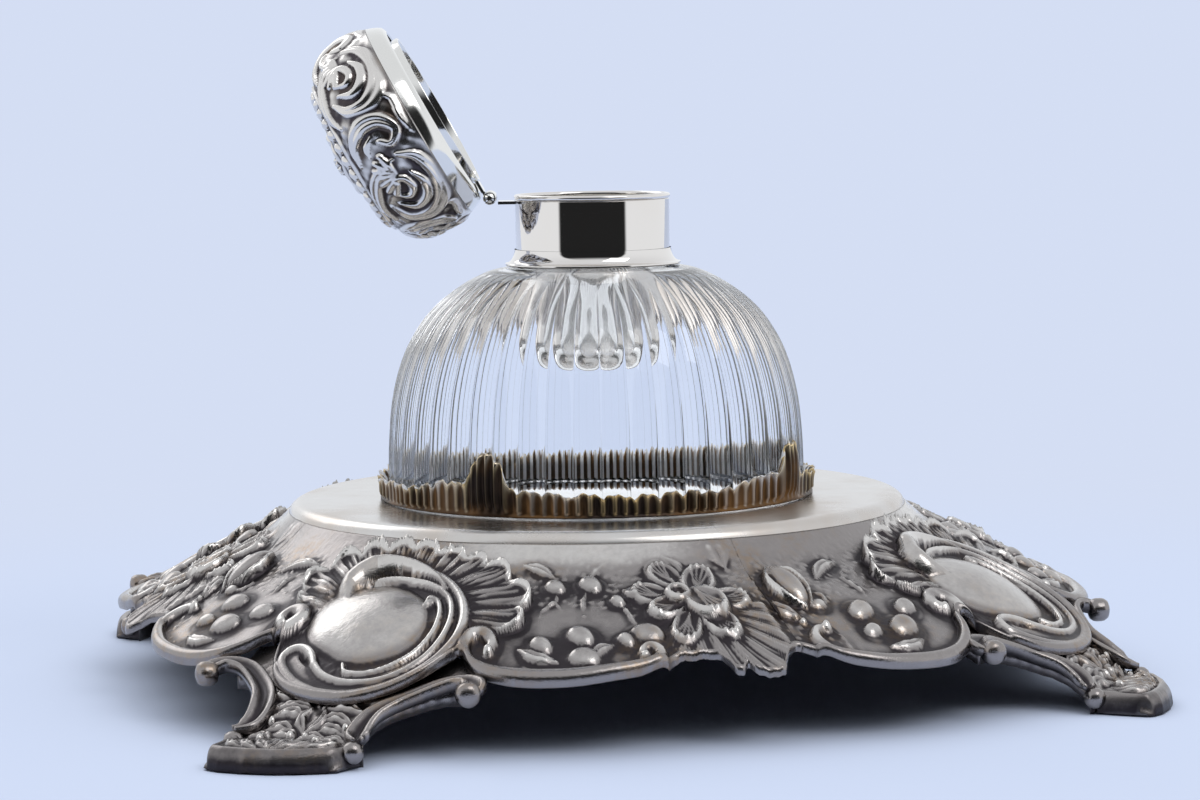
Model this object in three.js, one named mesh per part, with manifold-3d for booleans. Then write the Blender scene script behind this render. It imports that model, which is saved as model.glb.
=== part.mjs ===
// An antique silver inkstand: a cut glass ink well with a hinged lid of embossed silver, standing in a
// rocaille gallery on a round platform, with a cast border of four repeats and four feet around it.
// Millimetres, +Z up, the origin on the table under the centre. The stand's sides face the X and Y axes.
// The well sits turned in its gallery, with its hinge towards -X, and the lid is shown open.
import * as THREE from "three";
import { mergeVertices } from "three/addons/utils/BufferGeometryUtils.js";
import Module from "manifold-3d";

const wasm = await Module();
wasm.setup();

// Fits
const gap = 0.3; // what pieces that touch keep between them
const overrun = 2; // how far a cutter runs past what it cuts
const sunk = 0.6; // how far applied relief is let into its ground

// Facets of round pieces, and of beads and rods
const wideFacets = 36;
const neckFacets = 24;
const collarFacets = 30;
const lidFacets = 28;
const lidHollowFacets = 16;
const knuckleFacets = 16;
const boreFacets = 12;
const ovalFacets = 12;
const budFacets = 8;
const berryFacets = 5;
const domeLevels = 2;
const beadSides = 4;
const footBeadSides = 5;

// Platform: a spun cup, upside down, with a sloping flange that carries the border
const platformRadius = 62.3;
const platformTop = 35.2;
const platformSheet = 1.2;
const platformShoulder = 2.4;
const platformFlare = 1.0;
const flangeWidth = 3.6;

// Border: four equal castings
const repeats = 4;
const quarterTurn = (2 * Math.PI) / repeats;
const borderSheet = 1.6;
const borderDrop = 5.6; // from the platform's top to where the border meets its drum
const borderInnerTop = platformTop - borderDrop;
const borderOuterRadius = 97;
const borderOuterTop = 13.5;
const borderBow = 0.7;
const seamAngle = -38; // degrees from the corner to the casting's first seam
const valleyDepth = 6.5;
const valleyRadius = borderOuterRadius - valleyDepth; // the border's reach between its lobes
const rimRadius = 1.7; // the rolled edge of the lobes
const rimRise = 1.5;
const rimThinning = 0.4; // the share of its thickness that a rim loses towards its ends

// The border's lobes, by angle from the corner in degrees, with their reach past the valleys
const cartoucheLobe = { centre: 0.5, half: 13.5, reach: 13.7 };
const nearLobe = { centre: 25.5, half: 11.5, reach: 7.5 };
const farLobe = { centre: -25, half: 11.5, reach: 9.2 };
const shellLobe = { centre: 46, half: 6, reach: 6.9 };
const lobeRoundness = 0.75;
const panelColumns = 30;

// The scrolls that edge the side lobes
const lobeScrollWidth = 16.2; // from its middle to each side
const lobeScrollDepth = 9.6; // from its middle outwards
const lobeScrollSweep = 98; // degrees to each side of its middle
const lobeScrollSteps = 6;
const lobeRollSteps = 2;
const voluteRadius = 2.7;
const voluteTurn = 216; // degrees that a volute rolls round
const voluteTightening = 0.35;

// Cartouche: an oval boss in a C scroll that is open to one side, below a fan of flames
const cartoucheInset = 10; // from the border's outside to the scroll's middle
const cartoucheRadius = borderOuterRadius - cartoucheInset;
const cartoucheShift = 2;
const frameRadius = 14.8;
const frameThickness = 1.7;
const frameThinning = 0.35;
const frameLift = 1.4; // how far the scroll's middle stands over the ground, at its inner side
const frameSpread = [-62, 220]; // degrees round its middle, 0 pointing away from the stand's axis
const frameSteps = 10;
const frameRollSteps = 1;
const bossInset = 12.2;
const bossShift = -1.8;
const bossLength = 13;
const bossWidth = 10.8;
const bossRise = 3.4;

// The fan's flames: each tip's bearing in degrees, reach by the frame's radius, and rise off the ground
const fanTips = [
  [100, 1.62, 1.6],
  [110, 1.82, 2.2],
  [122, 1.9, 2.6],
  [138, 1.78, 3],
  [154, 1.68, 3.8],
  [168, 1.58, 5.2],
  [181, 1.55, 6.5],
  [193, 1.57, 6.4],
  [206, 1.64, 5.4],
  [220, 1.85, 4],
  [234, 2.02, 2.8],
  [248, 1.78, 2],
];
const fanRootLift = 0.9; // the flames' roots over the ground, behind the frame
const fanNotch = 0.95; // the reach between two flames, by that of their tips
const fanFold = 1.1;

// Side ornament
const shellRoot = 78; // radius where the side shell's ribs start
const shellAngle = 44;
const shellHalf = 7.4; // degrees to each side, at its edge
const shellRootShare = 0.45; // its breadth at its root by that at its edge
const shellRibs = 5;
const shellRise = 1.5;
const shellFurrow = 0.35; // a furrow's height by a rib's
const shellRootRise = 0.4; // a rib's height at its root by that at its edge
const flowerRadius = 78;
const flowerAngle = 41.3;
const petals = 5;
const petalReach = 10.4;
// One petal's reach, across its tip and into the notch beside it
const petalShares = [0.95, 0.95, 0.55];
const petalCrown = 0.65; // the share of its reach at which a petal is highest
const petalRise = 2.7;
const heartRise = 4.3;
const flowerHeart = 3;
const budRadius = 75.6;
const budAngle = -34.3;
const budLength = 5.6;
const budWidth = 3;
const budTurn = 14;
const berry = 2.5;
// Berries: degrees from the corner, share of the way from the border's inside to its outside, and size
const berryShares = [
  [27.4, 0.24, 0.9],
  [21.8, 0.75, 0.9],
  [26.3, 0.67, 1],
  [26.8, 0.83, 1.05],
  [34.2, 0.72, 1.1],
  [-20.9, 0.77, 0.9],
  [-22.8, 0.62, 0.9],
  [-29.2, 0.6, 0.9],
];

// Feet
const footUnderlap = 10; // how far the foot runs in under the border
const footInnerRadius = borderOuterRadius - footUnderlap;
const footReach = 25; // from the border's outside to the toe's tip
const toeRadius = borderOuterRadius + footReach;
const backLeftInset = 5; // how much nearer the back left foot is set
const toeTop = 3.6;
const toeLength = 8; // this much of the foot stands flat on the table
const toeWidth = 12.6;
const toeShare = 0.92; // the toe's end by its widest
const toeBow = 2;
const toeRoll = 1.5; // the rolled edge of its end
const toeEdgeSteps = 6;
const toeRollShare = 0.7; // how far down in the toe that edge lies, by its own radius
const footSheet = 1.9;
const footArmEdge = borderOuterRadius; // where the foot comes out from under the border
const footRootWidth = 24;
// The C scroll along each side of a foot: in from the toe's tip, out from its middle, and lift over it
const footArm = [
  [22.1, 28.6, 1.9],
  [24.6, 28, 1.6],
  [26.9, 25.6, 1.1],
  [26.8, 21.8, 0.6],
  [24.5, 17.9, 0.4],
  [21.3, 14.3, 0.3],
  [17.8, 12.1, 0.3],
  [14.6, 11.4, 0.6],
  [11.4, 12, 1],
];
const footArmTip = 3; // this many stations of the scroll lie beyond the foot's sheet
const armRadius = 1.8;
const armKnob = 2.3;

// Gallery: the ring of rocaille that holds the glass
const galleryWall = 0.9;
const galleryLow = 4.6;
const galleryPeak = 10.8;
const galleryPeakHalf = 12; // degrees
const galleryFold = 0.35;
const galleryFolds = 36;
const galleryRipple = 0.5;
const galleryWaves = 16;
const gallerySteepness = 2; // how much faster a peak falls away on its far side
const galleryTopShare = 0.55; // the level top of a peak, by its half breadth
const galleryStep = 0.62; // the height of the step beside a peak, by the peak's
const galleryFall = 0.35;
const galleryFarShare = 0.2; // the far side's step by the near side's

// Glass well
const glassRadius = 42;
const glassHeight = 46.2; // from the platform to where the dome meets the collar
const glassShoulder = platformTop + glassHeight;
const neckRadius = 13.2;
const neckLength = 13.2;
const neckTop = glassShoulder + neckLength;
const glassLedge = 3.6; // from the neck out to the dome
const glassShoulderRadius = neckRadius + glassLedge;
const flutes = 48;
const fluteDepth = 1.1;
const fluteFadeShare = 0.6; // the bulge share below which the flutes run out
const inkRadius = 10;
const inkMouthRadius = 8.6;
const inkDepth = 37.6; // from the neck's top
const inkFloor = neckTop - inkDepth;
// The ink bowl's profile: shares of its radius, across and up
const bowlShares = [
  [0.72, 0.084],
  [1, 0.32],
  [0.98, 1],
];
const glassFootChamfer = 1.4;
const glassFootInset = 1.6;
const glassFootRadius = glassRadius - glassFootInset;
// The dome's profile: shares of its bulge past the shoulder, and of its height
const domeShares = [
  [1.0, 0.0],
  [0.99, 0.28],
  [0.92, 0.52],
  [0.78, 0.73],
  [0.5, 0.9],
  [0.04, 1.0],
];

// Collar
const collarWall = 0.6;
const cementThickness = 1.7;
const collarRadius = neckRadius + cementThickness + collarWall;
const collarRise = 1.4; // from the neck's top to the collar's
const collarTop = neckTop + collarRise;
const collarFootHeight = 3.6;
const collarFootTop = glassShoulder + collarFootHeight;
const collarFootFlare = 2.2;
const collarFootRadius = collarRadius + collarFootFlare;
const collarFootEdge = 0.5;
const coveShares = [0.6, 0.2]; // where along its flare the foot's cove is drawn
const coveBow = 1.2;
const lipWire = 0.45;
const cementDrop = 1; // from the neck's top down to the cement
const cementTop = neckTop - cementDrop;

// Hinge, with its axis square to the way the well faces
const hingeTurn = 163.5; // degrees from +X to the hinge, round the well
const openAngle = 119.3; // degrees from shut to the lid's rest
const hingeDrop = 0.6; // from the collar's top down to the pin
const hingeHeight = collarTop - hingeDrop;
const knuckleRadius = 1.35;
const knuckleBore = 0.76;
const pinRadius = 0.6;
const pinHead = 1.0;
const pinHeadLength = 0.6;
const knuckleLength = 2.4;
const knuckleGap = 0.3;
const leafThickness = 0.6;
const leafDrop = 0.7; // from the pin down to the bracket's top face

// Lid, as it is when shut
const lidClearance = 0.6; // from the collar's top to the lid's rim
const lidRimHeight = collarTop + lidClearance;
const lidHeight = 20.8;
const lidBulge = 22.6;
const hingeInset = 2.1; // from the lid's widest in to the pin
const hingeReach = lidBulge - hingeInset; // from the collar's axis to the pin's
const lidSheet = 0.8;
const bandShare = 0.16; // the plain band's share of the lid's height
const bandLedge = 0.7;
const linerEase = 1; // from the collar's outside to the liner's
const linerRadius = collarRadius + linerEase;
const linerWall = 0.6;
const linerDrop = 1.2; // how far the liner's sleeve hangs below the rim
const linerRise = 2.2; // how far its plate is set up above the rim
const lidScrolls = 5;
const lidScrollThickness = 1.0;
const lidScrollThinning = 0.5;
const lidScrollSink = 3; // the part of its thickness by which a scroll stands off the dome
const lidScrollSteps = 8;
const lidScrollSweep = [-40, 250]; // degrees
const lidScrollRoll = 0.55; // how much a scroll closes in by its end
const lidScrollSpread = 0.8; // its breadth by the distance between two
const scrollShare = 0.5;
const scrollReachShare = 0.25;
const rosetteRadius = 6;
const rosetteRise = 0.9;
const gadroons = 16;
const gadroonRise = 1.4;
const gadroonWidth = 1.6;
const gadroonDip = 0.4;
const gadroonShare = 0.93;
// The lid's profile: shares of its bulge, and of its height
const lidShares = [
  [0.845, 0.0],
  [0.915, 0.09],
  [0.96, 0.19],
  [1.0, 0.42],
  [0.93, 0.69],
  [0.66, 0.9],
];

const degrees = Math.PI / 180;

// Finishes
const darkSilver = new THREE.MeshStandardMaterial({ color: 0x8f8c86, roughness: 0.38, metalness: 1 });
const satinSilver = new THREE.MeshStandardMaterial({ color: 0xb9b7b2, roughness: 0.3, metalness: 1 });
const brightSilver = new THREE.MeshStandardMaterial({ color: 0xd8d6d2, roughness: 0.1, metalness: 1 });
const gildedSilver = new THREE.MeshStandardMaterial({ color: 0xb39a62, roughness: 0.3, metalness: 1 });
const cutGlass = new THREE.MeshStandardMaterial({ color: 0xe8eef2, roughness: 0.03, metalness: 0 });
const plaster = new THREE.MeshStandardMaterial({ color: 0xd9d4c8, roughness: 0.9, metalness: 0 });

// Solids: three.js geometry in and out of the boolean library
function solidOf(geometry) {
  const loose = geometry.index ? geometry.toNonIndexed() : geometry.clone();
  loose.deleteAttribute("normal");
  loose.deleteAttribute("uv");
  const merged = mergeVertices(loose, 1e-4);
  const corners = new Uint32Array(merged.index.array);
  const positions = merged.attributes.position.array;
  const made = () => {
    return new wasm.Manifold(new wasm.Mesh({ numProp: 3, vertProperties: positions, triVerts: corners }));
  };
  const first = made();
  if (first.volume() > 0) return first;
  for (let i = 0; i < corners.length; i += 3) {
    [corners[i + 1], corners[i + 2]] = [corners[i + 2], corners[i + 1]];
  }
  return made();
}

function geometryOf(solid) {
  const mesh = solid.getMesh();
  const geometry = new THREE.BufferGeometry();
  geometry.setAttribute("position", new THREE.BufferAttribute(Float32Array.from(mesh.vertProperties), 3));
  geometry.setIndex(new THREE.BufferAttribute(Uint32Array.from(mesh.triVerts), 1));
  geometry.computeVertexNormals();
  return geometry;
}

function joined(solids) {
  return solids.reduce((whole, next) => whole.add(next));
}

// The one outer skin of a solid: pockets closed off inside it are filled, and loose crumbs are dropped
function skinOf(solid) {
  return solid.decompose().reduce((largest, next) => (next.volume() > largest.volume() ? next : largest));
}

// A closed sheet between two surfaces, each a function of (u, v) from 0 to 1
function sheetBetween(top, bottom, columns, rows) {
  const points = [];
  const corners = [];
  const across = rows + 1;
  const layer = (columns + 1) * across;
  for (const surface of [top, bottom]) {
    for (let i = 0; i <= columns; i++) {
      for (let j = 0; j <= rows; j++) points.push(surface(i / columns, j / rows));
    }
  }
  const quad = (a, b, c, d) => corners.push(a, b, c, a, c, d);
  const at = (i, j) => i * across + j;
  for (let i = 0; i < columns; i++) {
    for (let j = 0; j < rows; j++) {
      quad(at(i, j), at(i + 1, j), at(i + 1, j + 1), at(i, j + 1));
      quad(layer + at(i, j), layer + at(i, j + 1), layer + at(i + 1, j + 1), layer + at(i + 1, j));
    }
    quad(at(i, 0), layer + at(i, 0), layer + at(i + 1, 0), at(i + 1, 0));
    quad(at(i, rows), at(i + 1, rows), layer + at(i + 1, rows), layer + at(i, rows));
  }
  for (let j = 0; j < rows; j++) {
    quad(at(0, j), at(0, j + 1), layer + at(0, j + 1), layer + at(0, j));
    quad(at(columns, j), layer + at(columns, j), layer + at(columns, j + 1), at(columns, j + 1));
  }
  return meshSolid(points, corners);
}

function meshSolid(points, corners) {
  const geometry = new THREE.BufferGeometry().setFromPoints(points);
  geometry.setIndex(corners);
  return solidOf(geometry);
}

// A closed ring whose section, a loop of points, is a function of the angle
function ringOf(section, columns) {
  const points = [];
  const corners = [];
  const count = section(0).length;
  for (let i = 0; i < columns; i++) points.push(...section((i / columns) * 2 * Math.PI));
  for (let i = 0; i < columns; i++) {
    const next = (i + 1) % columns;
    for (let j = 0; j < count; j++) {
      const up = (j + 1) % count;
      corners.push(i * count + j, next * count + j, next * count + up);
      corners.push(i * count + j, next * count + up, i * count + up);
    }
  }
  return meshSolid(points, corners);
}

// A bead of metal swept along points in space, its thickness a function of the share of the way
function sweptBead(path, thicknessAt, sides, up) {
  const points = [];
  const corners = [];
  const last = path.length - 1;
  path.forEach((point, i) => {
    const along = path[Math.min(i + 1, last)].clone().sub(path[Math.max(i - 1, 0)]).normalize();
    const side = new THREE.Vector3().crossVectors(along, up(point)).normalize();
    const rise = new THREE.Vector3().crossVectors(side, along);
    const reach = thicknessAt(i / last);
    for (let k = 0; k < sides; k++) {
      const turn = (k / sides) * 2 * Math.PI;
      const corner = point.clone().addScaledVector(side, Math.cos(turn) * reach);
      points.push(corner.addScaledVector(rise, Math.sin(turn) * reach));
    }
  });
  for (let i = 0; i < last; i++) {
    for (let k = 0; k < sides; k++) {
      const next = (k + 1) % sides;
      corners.push(i * sides + k, (i + 1) * sides + k, (i + 1) * sides + next);
      corners.push(i * sides + k, (i + 1) * sides + next, i * sides + next);
    }
  }
  for (let k = 1; k < sides - 1; k++) {
    corners.push(0, k, k + 1);
    corners.push(last * sides, last * sides + k + 1, last * sides + k);
  }
  return meshSolid(points, corners);
}

// A solid of rings round Z, each a function of its corner's index that gives [radius, height]
function stacked(levels, columns) {
  const points = [];
  const corners = [];
  for (const level of levels) {
    for (let i = 0; i < columns; i++) {
      const [radius, height] = level(i);
      points.push(onAxis(radius, (i / columns) * 2 * Math.PI, height));
    }
  }
  const lastRow = points.length - columns;
  const foot = points.length;
  const top = foot + 1;
  for (const end of [levels[0], levels[levels.length - 1]]) points.push(new THREE.Vector3(0, 0, end(0)[1]));
  for (let i = 0; i < columns; i++) {
    const next = (i + 1) % columns;
    corners.push(foot, next, i, top, lastRow + i, lastRow + next);
    for (let low = 0; low < lastRow; low += columns) {
      const high = low + columns;
      corners.push(low + i, low + next, high + next, low + i, high + next, high + i);
    }
  }
  return meshSolid(points, corners);
}

// A solid of revolution round Z from a profile of [radius, height] that closes on itself or on the axis
function turned(profile, segments) {
  const geometry = new THREE.LatheGeometry(
    profile.map(([radius, height]) => new THREE.Vector2(radius, height)),
    segments,
  );
  geometry.rotateX(Math.PI / 2);
  return solidOf(geometry);
}

// A profile that closes on itself round a box
function rectangle(inner, bottom, outer, top) {
  return [
    [inner, bottom],
    [outer, bottom],
    [outer, top],
    [inner, top],
    [inner, bottom],
  ];
}

function arc(centre, radius, from, to, steps) {
  return Array.from({ length: steps + 1 }, (_, i) => {
    const turn = (from + ((to - from) * i) / steps) * degrees;
    return [centre[0] + radius * Math.cos(turn), centre[1] + radius * Math.sin(turn)];
  });
}

function mesh(name, solid, material) {
  const made = new THREE.Mesh(geometryOf(solid), material);
  made.name = name;
  return made;
}

const upwards = () => new THREE.Vector3(0, 0, 1);

// A point by its radius, its turn round Z and its height
function onAxis(radius, turn, height) {
  return new THREE.Vector3(radius * Math.cos(turn), radius * Math.sin(turn), height);
}

// Border ground: the height of its upper face at a radius
const borderInnerRadius = platformRadius + platformFlare + gap;

function ground(radius) {
  const share = (radius - borderInnerRadius) / (borderOuterRadius - borderInnerRadius);
  return borderInnerTop + (borderOuterTop - borderInnerTop) * share + borderBow * 4 * share * (1 - share);
}

// How far a lobe reaches past the valleys, at an angle in degrees, on whichever quarter it is
function lobeReach(lobe, angle) {
  const quarter = quarterTurn / degrees;
  const turn = angle - lobe.centre;
  const away = Math.abs(turn - quarter * Math.round(turn / quarter)) / lobe.half;
  return away < 1 ? lobe.reach * (1 - away ** 2) ** lobeRoundness : 0;
}

// The border's outer edge at an angle, in degrees, from the corner
function borderReach(angle) {
  const lobes = [cartoucheLobe, nearLobe, farLobe, shellLobe];
  return valleyRadius + Math.max(...lobes.map((lobe) => lobeReach(lobe, angle)));
}

// A point over the border, by its radius and its angle in degrees from the corner, lifted off the ground
function onBorder(radius, angle, lift) {
  return onAxis(radius, angle * degrees, ground(radius) + lift);
}

// The same by plan distances: out from the stand's axis along the corner's middle line, and across it
function overPlan(out, across, lift) {
  return new THREE.Vector3(out, across, ground(Math.hypot(out, across)) + lift);
}

function borderPanel() {
  const span = quarterTurn / degrees;
  const place = (lift) => (u, v) => {
    const reach = borderReach(seamAngle + span * u);
    const radius = borderInnerRadius + (reach - borderInnerRadius) * v;
    const margin = gap / 2 / radius / degrees;
    return onBorder(radius, seamAngle + margin + (span - 2 * margin) * u, lift);
  };
  return sheetBetween(place(0), place(-borderSheet), panelColumns, 2);
}

// A C scroll in plan: an arc that rolls up into a volute at each end
function scrollPlan({ out, across, width, depth, from, to, volute, steps, rollSteps }) {
  const at = (turn) => [out + depth * Math.cos(turn * degrees), across + width * Math.sin(turn * degrees)];
  const roll = (turn, way) => {
    const [x, y] = at(turn);
    const inward = Math.atan2(across - y, out - x);
    const eye = [x + volute * Math.cos(inward), y + volute * Math.sin(inward)];
    return Array.from({ length: rollSteps }, (_, i) => {
      const share = (i + 1) / rollSteps;
      const bearing = inward + Math.PI + way * share * voluteTurn * degrees;
      const reach = volute * (1 - voluteTightening * share);
      return [eye[0] + reach * Math.cos(bearing), eye[1] + reach * Math.sin(bearing)];
    });
  };
  const middle = Array.from({ length: steps + 1 }, (_, i) => at(from + ((to - from) * i) / steps));
  return [...roll(from, -1).reverse(), ...middle, ...roll(to, 1)];
}

function lobeRim(lobe) {
  const out = borderReach(lobe.centre) - rimRadius - lobeScrollDepth;
  const plan = scrollPlan({
    out,
    across: 0,
    width: lobeScrollWidth,
    depth: lobeScrollDepth,
    from: -lobeScrollSweep,
    to: lobeScrollSweep,
    volute: voluteRadius,
    steps: lobeScrollSteps,
    rollSteps: lobeRollSteps,
  });
  const turn = lobe.centre * degrees;
  const path = plan.map(([x, y]) => {
    const bearing = Math.atan2(y, x) + turn;
    return onBorder(Math.hypot(x, y), bearing / degrees, rimRise - rimRadius / 2);
  });
  const thickness = (share) => rimRadius * (1 - rimThinning * (1 - Math.sin(share * Math.PI)));
  return sweptBead(path, thickness, beadSides, upwards);
}

function cartoucheFrame() {
  const [from, to] = frameSpread;
  const plan = scrollPlan({
    out: cartoucheRadius,
    across: cartoucheShift,
    width: frameRadius,
    depth: frameRadius,
    from,
    to,
    volute: voluteRadius,
    steps: frameSteps,
    rollSteps: frameRollSteps,
  });
  const path = plan.map(([out, across]) => {
    const outward = Math.min(1, Math.max(-1, (out - cartoucheRadius) / frameRadius));
    return overPlan(out, across, (frameLift * (1 - outward)) / 2);
  });
  const thickness = (share) => frameThickness * (1 - frameThinning * (1 - Math.sin(share * Math.PI)));
  return sweptBead(path, thickness, beadSides, upwards);
}

function boss() {
  const solid = dome([bossWidth, bossLength, bossRise + sunk], ovalFacets);
  return laidOn(solid, borderOuterRadius - bossInset, bossShift, 0);
}

// A domed oval on a flat base, by its half length, half width and rise
function dome([length, width, rise], sides) {
  const profile = Array.from({ length: domeLevels + 1 }, (_, i) => {
    const turn = (i / domeLevels) * (Math.PI / 2);
    return [Math.cos(turn), Math.sin(turn)];
  });
  return turned([[0, 0], ...profile], sides).scale([length, width, rise]);
}

// A solid laid on the border at a place in plan, let into it and tilted with it
function laidOn(solid, out, across, turn) {
  const radius = Math.hypot(out, across);
  const slope = Math.atan2(ground(radius - sunk) - ground(radius + sunk), 2 * sunk);
  const bearing = Math.atan2(across, out);
  const place = overPlan(out, across, -sunk);
  return solid
    .rotate([0, 0, (turn - bearing) / degrees])
    .rotate([0, slope / degrees, 0])
    .rotate([0, 0, bearing / degrees])
    .translate([place.x, place.y, place.z]);
}

// The fan of flames round the upper side of the cartouche, its crest standing up against the platform
function flameFan() {
  const columns = (fanTips.length - 1) * 2;
  const least = borderInnerRadius + gap;
  const place = (under) => (u, v) => {
    const step = Math.round(u * columns);
    const between = step % 2 === 1;
    const [left, right] = [fanTips[Math.floor(step / 2)], fanTips[Math.ceil(step / 2)]];
    const [degree, tipShare, tipRise] = left.map((value, i) => (value + right[i]) / 2);
    const bearing = degree * degrees;
    const tip = frameRadius * tipShare * (between ? fanNotch : 1);
    const distance = frameRadius + (tip - frameRadius) * v;
    const out = cartoucheRadius + distance * Math.cos(bearing);
    const across = cartoucheShift + distance * Math.sin(bearing);
    const stretch = Math.max(1, least / Math.hypot(out, across));
    const rise = fanRootLift + (tipRise - fanRootLift) * v - (between ? fanFold * v : 0);
    return overPlan(out * stretch, across * stretch, under ? -borderSheet / 2 : rise);
  };
  return sheetBetween(place(false), place(true), columns, 1);
}

// The shell at the middle of each side, with ribs that spread outwards
function sideShell() {
  const columns = shellRibs * 2;
  const place = (under) => (u, v) => {
    const furrow = Math.round(u * columns) % 2 === 0;
    const spread = shellRootShare + (1 - shellRootShare) * v;
    const angle = shellAngle + (2 * u - 1) * shellHalf * spread;
    const radius = shellRoot + (borderReach(angle) - shellRoot) * v;
    const rise = shellRise * (furrow ? shellFurrow : 1) * (shellRootRise + (1 - shellRootRise) * v);
    return onBorder(radius, angle, under ? -borderSheet / 2 : rise);
  };
  return sheetBetween(place(false), place(true), columns, 1);
}

function flower() {
  const phases = petalShares.length;
  const petal = (radiusShare, rise) => (i) => {
    const reach = petalReach * petalShares[i % phases];
    return [reach * radiusShare, rise * petalShares[i % phases] + sunk];
  };
  const levels = [
    (i) => [petal(1, 0)(i)[0], 0],
    petal(petalCrown, petalRise),
    () => [flowerHeart, sunk + heartRise],
  ];
  const turn = flowerAngle * degrees;
  const solid = stacked(levels, petals * phases);
  return laidOn(solid, flowerRadius * Math.cos(turn), flowerRadius * Math.sin(turn), turn);
}

function bud() {
  const turn = budAngle * degrees;
  const solid = dome([budLength, budWidth, budWidth + sunk], budFacets);
  return laidOn(solid, budRadius * Math.cos(turn), budRadius * Math.sin(turn), turn + budTurn * degrees);
}

function berries() {
  return berryShares.map(([angle, share, size]) => {
    const reach = borderInnerRadius + (borderReach(angle) - borderInnerRadius) * share;
    const turn = angle * degrees;
    const solid = dome([berry * size, berry * size, berry * size + sunk], berryFacets);
    return laidOn(solid, reach * Math.cos(turn), reach * Math.sin(turn), 0);
  });
}

function borderCasting() {
  return skinOf(
    joined([
      borderPanel(),
      lobeRim(nearLobe),
      lobeRim(farLobe),
      flameFan(),
      cartoucheFrame(),
      boss(),
      sideShell(),
      flower(),
      bud(),
      ...berries(),
    ]),
  );
}

// The height of a foot's face, which tucks under the border's corner and runs out to a toe on the table
function footTopAt(out, across, tip) {
  const beneath = ground(Math.hypot(Math.min(out, footArmEdge), across)) - borderSheet - gap;
  const share = Math.min(1, Math.max(0, (out - footArmEdge) / (tip - toeLength - footArmEdge)));
  return beneath + (toeTop - beneath) * share * (2 - share);
}

// A foot whose toe ends at a distance from the stand's axis
function foot(tip) {
  const toeStart = tip - toeLength;
  const toePlan = arc([toeStart, 0], toeLength, 90, 0, 3).map(([out, across]) => [
    out,
    toeWidth * (toeShare + (1 - toeShare) * (across / toeLength)),
  ]);
  const neck = footArm.slice(footArmTip).map(([inset, across]) => [tip - inset, across]);
  const stations = [
    [tip - toeRadius + footInnerRadius, footRootWidth],
    [neck[0][0] - gap, footRootWidth],
    ...neck,
    ...toePlan,
  ];
  const steps = stations.length - 1;
  const place = (under) => (u, v) => {
    const [out, half] = stations[Math.round(u * steps)];
    const across = half * (1 - 2 * v);
    const top = footTopAt(out, across, tip);
    const bottom = out < toeStart ? top - footSheet : 0;
    return new THREE.Vector3(out, across, under ? bottom : top);
  };
  const body = sheetBetween(place(false), place(true), steps, 2);
  const toeEdge = Array.from({ length: toeEdgeSteps + 1 }, (_, i) => {
    const share = 1 - (2 * i) / toeEdgeSteps;
    const out = tip - toeRoll - toeBow * share ** 2;
    return new THREE.Vector3(out, toeWidth * toeShare * share, toeTop - toeRoll * toeRollShare);
  });
  const rim = sweptBead(toeEdge, () => toeRoll, footBeadSides, upwards);
  return skinOf(joined([body, footScroll(tip, 1), footScroll(tip, -1), rim]));
}

// The scroll along a side of a foot: it ducks where it passes under the border
function footScroll(tip, side) {
  const thickness = (share) => armRadius + (armKnob - armRadius) * (1 - share) ** 4;
  const points = footArm.map(([inset, across, lift], i) => {
    const out = tip - inset;
    const radius = Math.hypot(out, across);
    const turn = Math.atan2(across, out) / degrees;
    const reach = thickness(i / (footArm.length - 1));
    const covered = radius - reach - gap < Math.max(borderReach(turn), borderReach(-turn));
    const ceiling = ground(radius + reach) - borderSheet - gap - reach;
    const height = footTopAt(out, across, tip) + lift;
    return new THREE.Vector3(out, side * across, covered ? Math.min(height, ceiling) : height);
  });
  return sweptBead(points, thickness, footBeadSides, upwards);
}

function buildStand() {
  const group = new THREE.Group();
  const wallFoot = platformRadius + platformFlare;
  const flangeTop = (radius) => ground(radius) - borderSheet - gap;
  const flangeEdge = wallFoot + flangeWidth;
  const shoulder = arc(
    [platformRadius - platformShoulder, platformTop - platformShoulder],
    platformShoulder,
    90,
    0,
    2,
  );
  const inside = arc(
    [platformRadius - platformShoulder, platformTop - platformShoulder],
    platformShoulder - platformSheet,
    0,
    90,
    1,
  );
  const profile = [
    [0, platformTop],
    ...shoulder,
    [wallFoot, flangeTop(wallFoot)],
    [flangeEdge, flangeTop(flangeEdge)],
    [flangeEdge, flangeTop(flangeEdge) - platformSheet],
    [wallFoot - platformSheet, flangeTop(wallFoot) - platformSheet],
    ...inside,
    [0, platformTop - platformSheet],
  ];
  group.add(mesh("platform", turned(profile, wideFacets), satinSilver));
  const names = ["front_right", "back_right", "back_left", "front_left"];
  const casting = borderCasting();
  const evenFoot = foot(toeRadius);
  const insetFoot = foot(toeRadius - backLeftInset);
  names.forEach((name, i) => {
    const turn = -quarterTurn / 2 + i * quarterTurn;
    const border = mesh("border_" + name, casting, darkSilver);
    border.rotation.z = turn;
    const leg = mesh("foot_" + name, name === "back_left" ? insetFoot : evenFoot, darkSilver);
    leg.rotation.z = turn;
    group.add(border, leg);
  });
  group.add(mesh("gallery", gallery(), gildedSilver));
  return group;
}

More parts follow.
